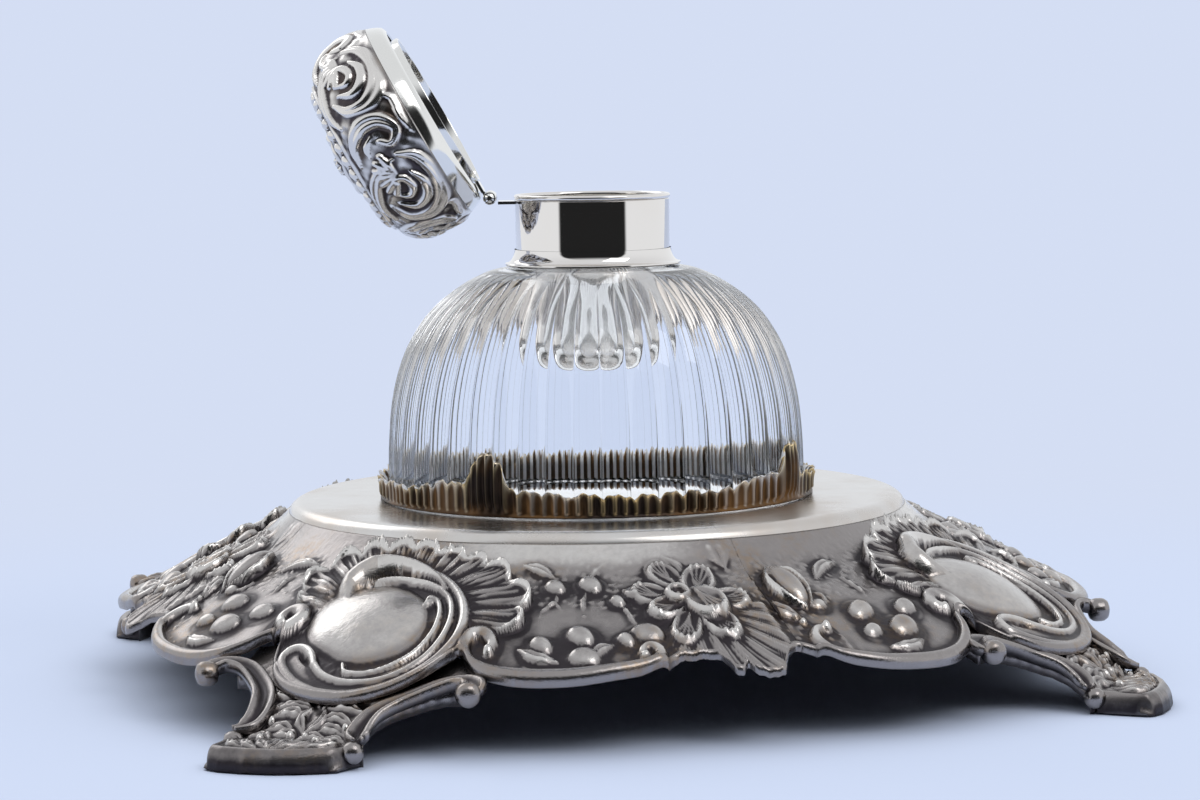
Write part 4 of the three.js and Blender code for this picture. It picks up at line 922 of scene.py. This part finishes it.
def glass():
    """Solid fluted glass round a small ink bowl."""
    count = sizes().flutes
    # the columns crowd towards the ridges
    even = np.linspace(0, count, count * FLUTE_COLUMNS + 1)
    turn = (even - 0.87 * np.sin(2 * math.pi * even) / (2 * math.pi)) * 2 * math.pi / count
    wall = flow(DOME, 1.0)
    profile = np.vstack([UNDERSIDE, wall, NECK, flow(BOWL, 1.0)])
    cut = np.zeros(len(profile))
    cut[len(UNDERSIDE):][:len(wall)] = between(81.2, 74.0, wall[:, 1]) \
        * between(GLASS_FLOOR, GLASS_FLOOR + 2, wall[:, 1])
    scoop = sizes().flute_depth / MM * np.abs(np.sin(turn * count / 2)) ** 0.75
    places = spun(profile[:, :1] - cut[:, None] * scoop, turn, profile[:, 1:])
    return moulded("glass_body", places, crease=34)


# ---------------------------------------------------------------- collar and hinge

def collar_pieces():
    """Tube, foot ring, lip and the cement that beds them."""
    bore, radius, low = COLLAR_RADIUS - COLLAR_WALL, COLLAR_RADIUS, COLLAR_FLOOR
    tube = turned("collar_tube_turned", [
        (bore, low), (radius - 0.05, low), (radius, low + 0.2), (radius, low + 0.4),
        (radius, 94.3), (radius, 94.7), (radius - 0.1, 94.85), (bore, 94.85), (bore, low)],
        crease=12)
    cove = [(15.85 + 1.75 * (1 - math.cos(a)), 84.9 - 2.7 * math.sin(a))
            for a in np.radians(np.linspace(0, 90, 9))]
    foot = turned("collar_foot_turned", [(15.8, 84.95), *cove[1:], (17.7, 82.1), (17.72, 81.9),
                                         (17.6, low), (15.8, low), (15.8, 84.95)])
    lip = turned("collar_lip_turned", [(15.22 + 0.55 * math.cos(a), 95.4 + 0.55 * math.sin(a))
                                       for a in np.linspace(0, 2 * math.pi, 17)])
    cement = turned("collar_cement_bed", [(13.5, low), (14.6, low), (14.6, 93.5), (14.1, 93.7),
                                          (13.5, 93.6), (13.5, low)], segments=96)
    return tube, foot, lip, cement


def on_hinge(piece, middle=0.0):
    """Lays a piece that was turned about Z along the hinge, a way from the hinge's middle."""
    piece.data.transform(
        Matrix.Rotation(math.radians(HINGE_TURN), 4, "Z")
        @ Matrix.Translation(Vector((HINGE_REACH, middle, HINGE_HEIGHT)) * MM)
        @ Matrix.Rotation(math.radians(90), 4, "X"))
    return piece


def knuckle(name, middle, radius, length, bore):
    """A short tube across the hinge, bevelled at its ends."""
    half = length / 2
    return on_hinge(turned(name, [
        (bore, -half), (radius - 0.2, -half), (radius, -half + 0.2), (radius, half - 0.2),
        (radius - 0.2, half), (bore, half), (bore, -half)], segments=40, crease=28), middle)


def pin():
    """The hinge pin, with a riveted head at each end."""
    half, head, shank = 4.35, 0.95, 0.6
    return on_hinge(turned("hinge_pin_riveted", [
        (0, -half - 0.55), (0.5, -half - 0.5), (head, -half - 0.2), (head, -half + 0.05),
        (shank, -half + 0.1), (shank, half - 0.1), (head, half - 0.05), (head, half + 0.2),
        (0.5, half + 0.5), (0, half + 0.55)], segments=32, crease=28))


# ---------------------------------------------------------------- lid

LID_PROFILE = [(19.1, 0.0), (20.0, 0.7), (20.7, 1.9), (21.1, 3.3), (21.3, 5.0), (21.5, 7.2),
               (21.5, 9.2), (21.1, 11.6), (20.4, 13.8), (19.0, 15.8), (17.2, 17.5), (14.6, 18.7),
               (11.4, 19.6), (8.0, 20.2), (4.0, 20.5), (0.0, 20.6)]
BAND_TOP = 3.2                # the dome starts here, over the plain band
LID_COLUMNS = 600
LID_REPEAT = 5
LID_SPREAD = 26.0             # one repeat, measured round the lid
GADROONS = 6
# Scrolls: line (round the lid, up its side), half widths along it, rise and section
LID_SCROLLS = [
    ([(-7.4, 15.4), (-11.0, 12.8), (-11.8, 8.4), (-8.8, 4.8), (-3.8, 3.8), (0.8, 5.4), (3.0, 8.6)],
     [0.4, 1.3, 2.1, 2.3, 2.0, 1.3, 0.4], 1.1, vein),
    ([(-6.8, 13.2), (-8.6, 10.2), (-7.2, 7.4), (-4.2, 6.6), (-1.2, 8.0)],
     [0.3, 1.0, 1.3, 1.1, 0.3], 1.15, bead),
    ([(-4.8, 12.6), (-5.8, 10.4), (-4.2, 9.0), (-1.8, 9.8), (-1.4, 11.6), (-3.0, 12.0)],
     [0.3, 0.7, 0.9, 0.9, 0.7, 0.4], 1.0, bead),
    ([(3.6, 17.0), (8.0, 16.0), (10.8, 12.6), (10.4, 8.6), (7.4, 6.2), (5.2, 8.2), (6.6, 10.2)],
     [0.4, 1.2, 1.9, 1.9, 1.4, 0.9, 0.5], 1.1, vein),
    ([(-12.8, 16.6), (-9.2, 17.8), (-4.6, 17.4), (-0.6, 15.4), (1.8, 12.2), (2.4, 9.8)],
     [0.3, 1.0, 1.5, 1.7, 1.3, 0.3], 1.1, vein),
    ([(5.2, 3.4), (8.6, 4.0), (12.4, 3.6), (14.6, 5.6)], [0.3, 1.0, 1.1, 0.3], 0.9, vein),
    ([(4.6, 13.6), (6.6, 13.4), (8.2, 11.4)], [0.3, 0.8, 0.3], 0.7, bead),
    ([(10.2, 15.6), (12.2, 12.6), (12.6, 9.4)], [0.3, 0.6, 0.3], 0.6, bead),
]


def lid_relief(around, up):
    """Heights of the lid's ornament over its dome."""
    r = Relief(around, up, wrap=LID_SPREAD)
    wave = around * 2 * math.pi / LID_SPREAD
    r.height += 0.10 * np.sin(wave * 3 + up * 0.8) + 0.05 * np.sin(wave * 9) * np.sin(up * 2.3)
    for line, width, rise, section in LID_SCROLLS:
        r.stroke(line, width, [rise * k for k in (0.45, 0.86, 0.86, 0.86, 0.45)], section)
    # a ribbed shell in the scroll's mouth
    for k in range(7):
        a = math.radians(150 - 22 * k)
        tip = (-0.4 + 4.6 * math.cos(a), 10.4 + 4.4 * math.sin(a))
        r.stroke([(-0.4, 10.4), tip], [0.25, 0.85, 0.7], [0.4, 0.9, 0.7])
    # gadroons at the shoulder between two wires
    for k in range(GADROONS):
        x = (k + 0.5) * LID_SPREAD / GADROONS - LID_SPREAD / 2
        r.mound((x, 21.2), (2.3, 1.45), 1.1, turn=28)
    for wire in (19.1, 23.3):
        r.stroke([(-13.5, wire), (13.5, wire)], 0.4, 0.6)
    return r.height


def opened(piece):
    """Swings a piece of the lid, built shut with its hinge along +X, to where it rests open."""
    pivot = Vector((HINGE_REACH, 0, HINGE_HEIGHT))
    swing = Matrix.Rotation(math.radians(HINGE_TURN), 4, "Z") @ Matrix.Translation(pivot) \
        @ Matrix.Rotation(math.radians(OPEN_ANGLE), 4, "Y") @ Matrix.Translation(-pivot) \
        @ Matrix.Translation(Vector((0, 0, LID_RIM)))
    swing.translation = swing.translation * MM
    piece.data.transform(swing)
    return piece


def lid_dome():
    """The chased dome over the plain band."""
    turn = np.linspace(0, 2 * math.pi, LID_COLUMNS + 1)
    line = flow(LID_PROFILE, 0.35)
    line = line[line[:, 1] > BAND_TOP]
    lengths = travelled(line)
    slope = headings(line)
    normal = np.stack([slope[:, 1], -slope[:, 0]], 1)
    around = ((turn / (2 * math.pi) * LID_REPEAT + 0.5) % 1 - 0.5) * LID_SPREAD
    around, up = np.broadcast_arrays(around, lengths[:, None] + 2.4)
    relief = lid_relief(around.ravel(), up.ravel()).reshape(up.shape)
    # crown: a rosette by turn, because the plan closes up towards the pole
    out = line[:, :1]
    crown = between(9.5, 8.0, out)
    rosette = 0.9 * between(7.5, 6.5, out) * (0.55 + 0.45 * np.abs(np.sin(turn * 4))) \
        + 0.9 * between(2.4, 1.6, out)
    relief = (relief * (1 - crown) + rosette * crown) * between(0.0, 2.4, lengths)[:, None]
    inner = line[::-6] - 0.8 * normal[::-6]
    inner[0, 0] = 0.0
    lining = np.zeros((len(inner), LID_COLUMNS + 1))
    radius = np.maximum(looped(out + normal[:, :1] * relief, inner[:, :1] + lining), 0)
    radius[len(line) - 1] = 0
    height = looped(line[:, 1:] + normal[:, 1:] * relief, inner[:, 1:] + lining)
    worn = 0.55 + proud(relief, 5, 7, closed=True) / 0.7
    return opened(moulded("lid_dome", spun(radius, turn, height), looped(worn, lining + 0.6)))


def lid_rim_band():
    """The plain bright band at the lid's rim."""
    outer = [(19.2, 0.15), (19.8, 0.5), (20.25, 1.2), (20.6, 2.0), (20.95, 2.9), (21.1, 3.3),
             (20.95, 3.45)]
    inner = [(20.4, 3.4), (20.1, 2.4), (19.3, 1.0), (18.4, 0.3), (18.5, 0.0), (19.2, 0.15)]
    return opened(turned("lid_rim_band", outer + inner, segments=192))


def lid_lining():
    """The bright lining cup with the sleeve that goes over the collar."""
    return opened(turned("lid_lining", [
        (0, 2.8), (15.9, 2.8), (16.5, 2.2), (16.5, -1.0), (16.4, -1.2), (16.0, -1.2),
        (15.9, -1.0), (15.9, 1.9), (15.6, 2.2), (0, 2.2)]))


# ---------------------------------------------------------------- shaders

class Socket:
    """A node's output with arithmetic: an expression on sockets adds its Math nodes."""

    def __init__(self, tree, output):
        self.tree, self.output = tree, output

    def math(self, operation, *values):
        return self.tree.node("ShaderNodeMath", dict(enumerate(values)), operation=operation)

    def __add__(self, other):
        return self.math("ADD", self, other)

    def __sub__(self, other):
        return self.math("SUBTRACT", self, other)

    def __rsub__(self, other):
        return self.math("SUBTRACT", other, self)

    def __mul__(self, other):
        return self.math("MULTIPLY", self, other)


class Finish:
    """A material's node tree, with one method for every node."""

    def __init__(self, name, tree=None):
        if tree is None:
            self.material = bpy.data.materials.new(name)
            self.material.use_nodes = True
            tree = self.material.node_tree
        self.tree = tree
        tree.nodes.clear()

    def node(self, kind, inputs=None, output=0, **settings):
        made = self.tree.nodes.new(kind)
        for key, value in settings.items():
            setattr(made, key, value)
        for key, value in (inputs or {}).items():
            if isinstance(value, Socket):
                self.tree.links.new(value.output, made.inputs[key])
            else:
                made.inputs[key].default_value = value
        return Socket(self, made.outputs[output]) if made.outputs else None

    def place(self):
        return self.node("ShaderNodeTexCoord", output="Object")

    def wear_and_painted_light(self):
        return self.node("ShaderNodeAttribute", output="Fac", attribute_name="wear_and_painted_light")

    def ray(self, kind):
        return self.node("ShaderNodeLightPath", output=f"Is {kind} Ray")

    def vector(self, operation, *values, output=0):
        return self.node("ShaderNodeVectorMath", dict(enumerate(values)), output,
                         operation=operation)

    def height(self, place):
        return self.node("ShaderNodeSeparateXYZ", {0: place}, "Z")

    def noise(self, scale, detail=4.0, rough=0.55, vector=None):
        """Noise of a scale per metre, 0 to 1."""
        return self.node("ShaderNodeTexNoise", {
            "Vector": vector or self.place(), "Scale": scale, "Detail": detail,
            "Roughness": rough}, "Fac")

    def range(self, value, low, high, to_low=0.0, to_high=1.0):
        return self.node("ShaderNodeMapRange", {
            "Value": value, "From Min": low, "From Max": high,
            "To Min": to_low, "To Max": to_high}, interpolation_type="SMOOTHSTEP")

    def mix(self, factor, first, second):
        return self.node("ShaderNodeMix", {0: factor, 6: first, 7: second}, 2, data_type="RGBA")

    def bump(self, height, strength, distance):
        return self.node("ShaderNodeBump", {
            "Height": height, "Strength": strength, "Distance": distance}, "Normal")

    def principled(self, **inputs):
        values = {key.replace("_", " "): value for key, value in inputs.items()}
        shader = self.node("ShaderNodeBsdfPrincipled", values)
        self.node("ShaderNodeOutputMaterial", {"Surface": shader})
        return self.material


def rgba(colour, share=1.0):
    return (*[c * share for c in colour], 1.0)


def cast_silver():
    """Cast and oxidised silver: pewter grey, black when recessed, bright where it is rubbed; it
    also shows the painted shade and painted highlight that the castings' points carry.
    """
    f, c = Finish("cast_silver"), colours()
    wear_and_painted_light, patch, grain = f.wear_and_painted_light(), f.noise(70, 4, 0.6), f.noise(700, 4, 0.65)
    worn = wear_and_painted_light + (patch - 0.5) * 0.25 + (grain - 0.5) * 0.22
    rubbed = f.range(worn, 0.06, 0.56)
    edges = f.range(worn, 0.58, 1.05)
    warm = f.range(f.noise(46, 4, 0.6), 0.47, 0.62) * f.range(grain, 0.35, 0.65)
    dark = f.mix(warm * 0.5, rgba(c.oxide_and_shade), rgba(c.tarnish, 0.30))
    middle = f.mix(warm * 0.7, rgba(c.pewter), rgba(c.tarnish, 0.85))
    colour = f.mix(edges, f.mix(rubbed, dark, middle), rgba(c.silver, 0.9))
    rough = f.range(rubbed, 0.0, 1.0, 0.42, 0.25) - edges * 0.13 + (grain - 0.5) * 0.08
    pits = f.noise(2600, 2, 0.5)
    return f.principled(Base_Color=colour, Metallic=1.0, Roughness=rough,
                        Normal=f.bump(grain * 0.7 + pits * 0.3, strength=0.45, distance=0.00022))


def satin_silver():
    """The drum: softly polished, with fine rubbing round it and some film; painted dark underneath
    as shade.
    """
    f, c = Finish("satin_silver"), colours()
    film = f.range(f.noise(26, 4, 0.6), 0.40, 0.75)
    scratches = f.noise(240, 4, 0.7, vector=f.node("ShaderNodeMapping", {
        "Vector": f.place(), "Scale": (1.0, 1.0, 6.0)}))
    height = f.height(f.place())
    inward = f.vector("LENGTH", f.vector("MULTIPLY", f.place(), (1, 1, 0)), output="Value")
    # painted shade: the drum's underside, below its top and inside its wall, is coloured near
    # black
    under = f.range(height, 0.0344, 0.0342) * f.range(inward, 0.0612, 0.0610)
    polished = f.mix(film * 0.5, rgba(c.satin), rgba(c.tarnish, 1.35))
    colour = f.mix(under, polished, rgba(c.oxide_and_shade, 1.5))
    rough = f.range(film, 0.0, 1.0, 0.24, 0.36) + (scratches - 0.5) * 0.10
    return f.principled(Base_Color=colour, Metallic=1.0, Roughness=rough,
                        Normal=f.bump(scratches, strength=0.06, distance=0.0001))


def bright_silver():
    """Mirror polished silver with a breath of film."""
    f, c = Finish("bright_silver"), colours()
    film = f.range(f.noise(48, 3, 0.5), 0.45, 0.8)
    colour = f.mix(film * 0.16, rgba(c.silver, 1.08), rgba(c.tarnish, 1.7))
    rough = f.range(film, 0.0, 1.0, 0.045, 0.12)
    return f.principled(Base_Color=colour, Metallic=1.0, Roughness=rough,
                        Normal=f.bump(f.noise(120, 2, 0.5), strength=0.02, distance=0.0002))


def chased_silver():
    """The lid: polished relief over darkened grounds."""
    f, c = Finish("chased_silver"), colours()
    wear_and_painted_light, grain = f.wear_and_painted_light(), f.noise(700, 3, 0.6)
    rubbed = f.range(wear_and_painted_light + (grain - 0.5) * 0.1, 0.18, 0.62)
    warm = f.range(f.noise(60, 3, 0.5), 0.50, 0.72)
    dark = f.mix(warm * 0.8, rgba(c.oxide_and_shade, 1.6), rgba(c.tarnish, 0.6))
    colour = f.mix(rubbed, dark, rgba(c.silver))
    rough = f.range(rubbed, 0.0, 1.0, 0.34, 0.17)
    return f.principled(Base_Color=colour, Metallic=1.0, Roughness=rough,
                        Normal=f.bump(grain, strength=0.05, distance=0.0001))


def gilt_silver():
    """The gallery: worn gilding browned in its flutes, and inside painted bright, with dark
    stripes, as the light seen through the glass.
    """
    f, c = Finish("gilt_silver"), colours()
    wear_and_painted_light, patch = f.wear_and_painted_light(), f.range(f.noise(60, 3, 0.6), 0.35, 0.65)
    dark = f.mix(patch, rgba((0.035, 0.026, 0.022)), rgba((0.16, 0.085, 0.035)))
    gold = f.mix(patch, rgba(c.gilt), rgba(c.silver, 0.9))
    # painted light: inside, the gallery is coloured near white and left dull
    painted_bright_inside = f.range(wear_and_painted_light, 0.84, 0.96)
    colour = f.mix(painted_bright_inside, f.mix(f.range(wear_and_painted_light, 0.2, 0.75), dark, gold), rgba((0.80, 0.80, 0.82)))
    rough = f.range(wear_and_painted_light, 0.2, 0.8, 0.42, 0.2) + painted_bright_inside * 0.35
    return f.principled(Base_Color=colour, Metallic=1.0 - painted_bright_inside * 0.8, Roughness=rough,
                        Normal=f.bump(f.noise(900, 3), strength=0.15, distance=0.0001))


def clear_glass():
    """Heavy clear glass."""
    f, c = Finish("clear_glass"), colours()
    return f.principled(Base_Color=rgba(c.glass), Metallic=0.0, Roughness=0.0, IOR=1.53,
                        Transmission_Weight=1.0,
                        Normal=f.bump(f.noise(90, 2, 0.4), strength=0.03, distance=0.0002))


def bedding_plaster():
    """Coarse pale plaster."""
    f = Finish("bedding_plaster")
    grit = f.noise(1400, 4, 0.6)
    colour = f.mix(grit, rgba((0.62, 0.58, 0.50)), rgba((0.80, 0.77, 0.70)))
    return f.principled(Base_Color=colour, Roughness=0.9,
                        Normal=f.bump(grit, strength=0.4, distance=0.0002))


def castings_silver():
    """The castings' finish, made once for the border and the feet."""
    return bpy.data.materials.get("cast_silver") or cast_silver()


def plain_silver():
    """The frame's own bright silver, which the hinge and the lid's plain parts keep."""
    return bpy.data.materials.get("bright_silver") or bright_silver()


# ---------------------------------------------------------------- floor, light and camera

FACING = -106.5               # degrees from +X to the camera, round the stand
FLOOR_DEPTH, FLOOR_FRONT, FLOOR_HALF = 40.0, 0.42, 0.45     # metres
# Lamps: name, azimuth and elevation in degrees, distance and size in metres, power in watts
LAMPS = [("key", -62, 50, 2.2, 1.0, 7.0), ("rim", 110, 35, 2.4, 1.2, 6.0)]
CAMERA_REACH, CAMERA_HEIGHT = 0.7, 0.1188
CAMERA_TURN, CAMERA_DOWN, CAMERA_ROLL = -0.08, 5.28, -0.9   # degrees
SENSOR = 36.0
FOCAL_SHARE = 3472 / 1200     # the focal length by the picture's width


def toward_camera():
    facing = math.radians(FACING)
    return Vector((math.cos(facing), math.sin(facing), 0.0))


def pale_floor():
    """A pale sheet, narrow a little in front of the stand and widening far behind it."""
    pale = rgba(colours().floor)
    clear_selection()
    bpy.ops.mesh.primitive_plane_add(size=FLOOR_DEPTH)
    floor = bpy.context.object
    floor.name = "floor"
    for corner in floor.data.vertices:
        if corner.co.y < 0:
            corner.co.x *= FLOOR_HALF / (FLOOR_DEPTH / 2)
    floor.location = toward_camera() * (FLOOR_FRONT - FLOOR_DEPTH / 2) - Vector((0, 0, 2e-5))
    floor.rotation_euler.z = math.radians(FACING) + math.pi / 2
    bpy.ops.object.transform_apply(location=True, rotation=True, scale=True)
    # it fades into the backdrop where the stand's shadow has ended
    f = Finish("pale_floor")
    away, seen = f.vector("LENGTH", f.place(), output="Value"), f.ray("Camera")
    paper = f.node("ShaderNodeBsdfPrincipled", {
        "Base Color": pale, "Roughness": 0.9, "Specular IOR Level": 0.1})
    plain = f.node("ShaderNodeEmission", {"Color": pale, "Strength": 1.0})
    surface = f.node("ShaderNodeMixShader", {
        0: seen * f.range(away, 0.12, 0.34), 1: paper, 2: plain})
    f.node("ShaderNodeOutputMaterial", {"Surface": surface})
    floor.data.materials.append(f.material)


def studio():
    """A white tent on both sides, behind and overhead, open and dark towards the camera."""
    world = bpy.data.worlds.new("studio")
    bpy.context.scene.world = world
    world.use_nodes = True
    f = Finish("studio", world.node_tree)
    sight = f.node("ShaderNodeTexCoord", output="Generated")
    ahead = f.vector("DOT_PRODUCT", sight, tuple(toward_camera()), output="Value")
    height = f.height(sight)
    gap = f.range(ahead, 0.60, 0.67) * f.range(height, 0.80, 0.45)
    tent = f.range(height, 0.10, 0.95, 1.0, 0.86) * (1.0 - gap * 0.98)
    seen = f.ray("Camera")
    glossy = f.ray("Glossy")
    mirrored = glossy.math("MAXIMUM", glossy, f.ray("Transmission"))
    overhead = f.range(height, 0.25, 0.95, 0.03, 1.42)
    strength = mirrored * tent + (1.0 - mirrored) * overhead
    light = f.node("ShaderNodeBackground", {"Color": (0.93, 0.96, 1.0, 1), "Strength": strength})
    shown = f.node("ShaderNodeBackground", {"Color": rgba(colours().floor), "Strength": 1.0})
    both = f.node("ShaderNodeMixShader", {0: seen, 1: light, 2: shown})
    f.node("ShaderNodeOutputWorld", {"Surface": both})


def lamps():
    for name, azimuth, elevation, distance, size, power in LAMPS:
        a, e = math.radians(azimuth), math.radians(elevation)
        bpy.ops.object.light_add(type="AREA", location=(
            distance * math.cos(a) * math.cos(e), distance * math.sin(a) * math.cos(e),
            distance * math.sin(e)))
        lamp = bpy.context.object
        lamp.name = f"{name}_light"
        lamp.data.size, lamp.data.energy = size, power
        lamp.rotation_euler = (-lamp.location).to_track_quat("-Z", "Y").to_euler()


def photo_camera():
    """The photograph's camera."""
    bpy.ops.object.camera_add(
        location=toward_camera() * CAMERA_REACH + Vector((0, 0, CAMERA_HEIGHT)))
    camera = bpy.context.object
    camera.data.sensor_width = SENSOR
    camera.data.lens = SENSOR * FOCAL_SHARE
    camera.data.clip_start, camera.data.clip_end = 0.01, 100
    look, down = math.radians(FACING + 180 + CAMERA_TURN), math.radians(CAMERA_DOWN)
    ahead = Vector((math.cos(look) * math.cos(down), math.sin(look) * math.cos(down),
                    -math.sin(down)))
    camera.rotation_mode = "QUATERNION"
    camera.rotation_quaternion = ahead.to_track_quat("-Z", "Y") \
        @ Matrix.Rotation(math.radians(CAMERA_ROLL), 4, "Z").to_quaternion()
    bpy.context.scene.camera = camera


# ---------------------------------------------------------------- operators

class Step:
    """What the operators share: each makes its pieces once."""

    def execute(self, context):
        self.make()
        return {"FINISHED"}


class INKWELL_OT_stage(Step, bpy.types.Operator):
    """Lays the floor and sets the lights and the camera"""

    bl_idname = "inkwell.stage"
    bl_label = "Stage"

    def make(self):
        pale_floor()
        studio()
        lamps()
        photo_camera()


class INKWELL_OT_border(Step, bpy.types.Operator):
    """Casts the four quarters of the border"""

    bl_idname = "inkwell.border"
    bl_label = "Border"

    def make(self):
        pattern = border_quarter()
        for corner, degrees in CORNERS.items():
            piece = turned_copy(pattern, f"border_{corner}_cast", degrees)
            place_piece(piece, "stand", [f"border_{corner}"],
                        castings_silver())
        bpy.data.objects.remove(pattern)


class INKWELL_OT_feet(Step, bpy.types.Operator):
    """Casts the four scroll feet"""

    bl_idname = "inkwell.feet"
    bl_label = "Feet"

    def make(self):
        patterns = {tip: one_foot(tip) for tip in sorted(set(FOOT_TIPS.values()))}
        for corner, degrees in CORNERS.items():
            piece = turned_copy(patterns[FOOT_TIPS[corner]], f"foot_{corner}_cast", degrees)
            place_piece(piece, "stand", [f"foot_{corner}"],
                        castings_silver())
        for pattern in patterns.values():
            bpy.data.objects.remove(pattern)


class INKWELL_OT_platform(Step, bpy.types.Operator):
    """Spins the drum and fits the gallery on it"""

    bl_idname = "inkwell.platform"
    bl_label = "Drum and gallery"

    def make(self):
        place_piece(drum(), "stand", ["platform"], satin_silver())
        place_piece(gallery_strip(), "stand", ["gallery"], gilt_silver())


class INKWELL_OT_well(Step, bpy.types.Operator):
    """Makes the glass and its collar"""

    bl_idname = "inkwell.well"
    bl_label = "Glass and collar"

    def make(self):
        place_piece(glass(), "well", ["glass_well"], clear_glass())
        bright = bright_silver()
        *metal, cement = collar_pieces()
        for piece, node in zip(metal, ("collar_tube", "collar_foot", "collar_lip")):
            place_piece(piece, "well", [node], bright)
        place_piece(cement, "well", ["collar_cement"], bedding_plaster())


class INKWELL_OT_hinge(Step, bpy.types.Operator):
    """Makes the hinge's knuckles and pin"""

    bl_idname = "inkwell.hinge"
    bl_label = "Hinge"

    def make(self):
        bright = plain_silver()
        for name, middle in (("front", -2.7), ("back", 2.7)):
            piece = knuckle(f"hinge_knuckle_{name}_turned", middle, 1.35, 2.4, 0.76)
            place_piece(piece, "well", [f"hinge_knuckle_{name}"], bright)
        place_piece(pin(), "well", ["hinge_pin"], bright)
        for node in ("hinge_bracket", "lid_hinge_tab"):
            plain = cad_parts[node]
            plain.data.materials.clear()
            plain.data.materials.append(bright)


class INKWELL_OT_lid(Step, bpy.types.Operator):
    """Chases the lid and fits its band and lining"""

    bl_idname = "inkwell.lid"
    bl_label = "Lid"

    def make(self):
        bright = plain_silver()
        place_piece(lid_dome(), "lid", ["lid_shell"], chased_silver())
        place_piece(lid_rim_band(), "lid", ["lid_band"], bright)
        place_piece(lid_lining(), "lid", ["lid_liner"], bright)


STEPS = (INKWELL_OT_stage, INKWELL_OT_border, INKWELL_OT_feet, INKWELL_OT_platform,
         INKWELL_OT_well, INKWELL_OT_hinge, INKWELL_OT_lid)


class INKWELL_PT_panel(bpy.types.Panel):
    """The inkwell's steps and settings"""

    bl_idname = "INKWELL_PT_panel"
    bl_label = "Silver inkwell"
    bl_space_type = "VIEW_3D"
    bl_region_type = "UI"
    bl_category = "Inkwell"

    def draw(self, context):
        for group in (context.scene.inkwell_sizes, context.scene.inkwell_colours):
            box = self.layout.box()
            for key in group.bl_rna.properties.keys():
                if key not in ("rna_type", "name"):
                    box.prop(group, key)
        for step in STEPS:
            self.layout.operator(step.bl_idname)


CLASSES = (InkwellSizes, InkwellColours, *STEPS, INKWELL_PT_panel)


def register():
    for cls in CLASSES:
        bpy.utils.register_class(cls)
    bpy.types.Scene.inkwell_sizes = bpy.props.PointerProperty(type=InkwellSizes)
    bpy.types.Scene.inkwell_colours = bpy.props.PointerProperty(type=InkwellColours)


def unregister():
    del bpy.types.Scene.inkwell_sizes
    del bpy.types.Scene.inkwell_colours
    for cls in reversed(CLASSES):
        bpy.utils.unregister_class(cls)


def main():
    register()
    bpy.context.scene.view_settings.view_transform = "Standard"
    bpy.ops.inkwell.stage()
    bpy.ops.inkwell.border()
    bpy.ops.inkwell.feet()
    bpy.ops.inkwell.platform()
    bpy.ops.inkwell.well()
    bpy.ops.inkwell.hinge()
    bpy.ops.inkwell.lid()


if __name__ == "__main__":
    main()
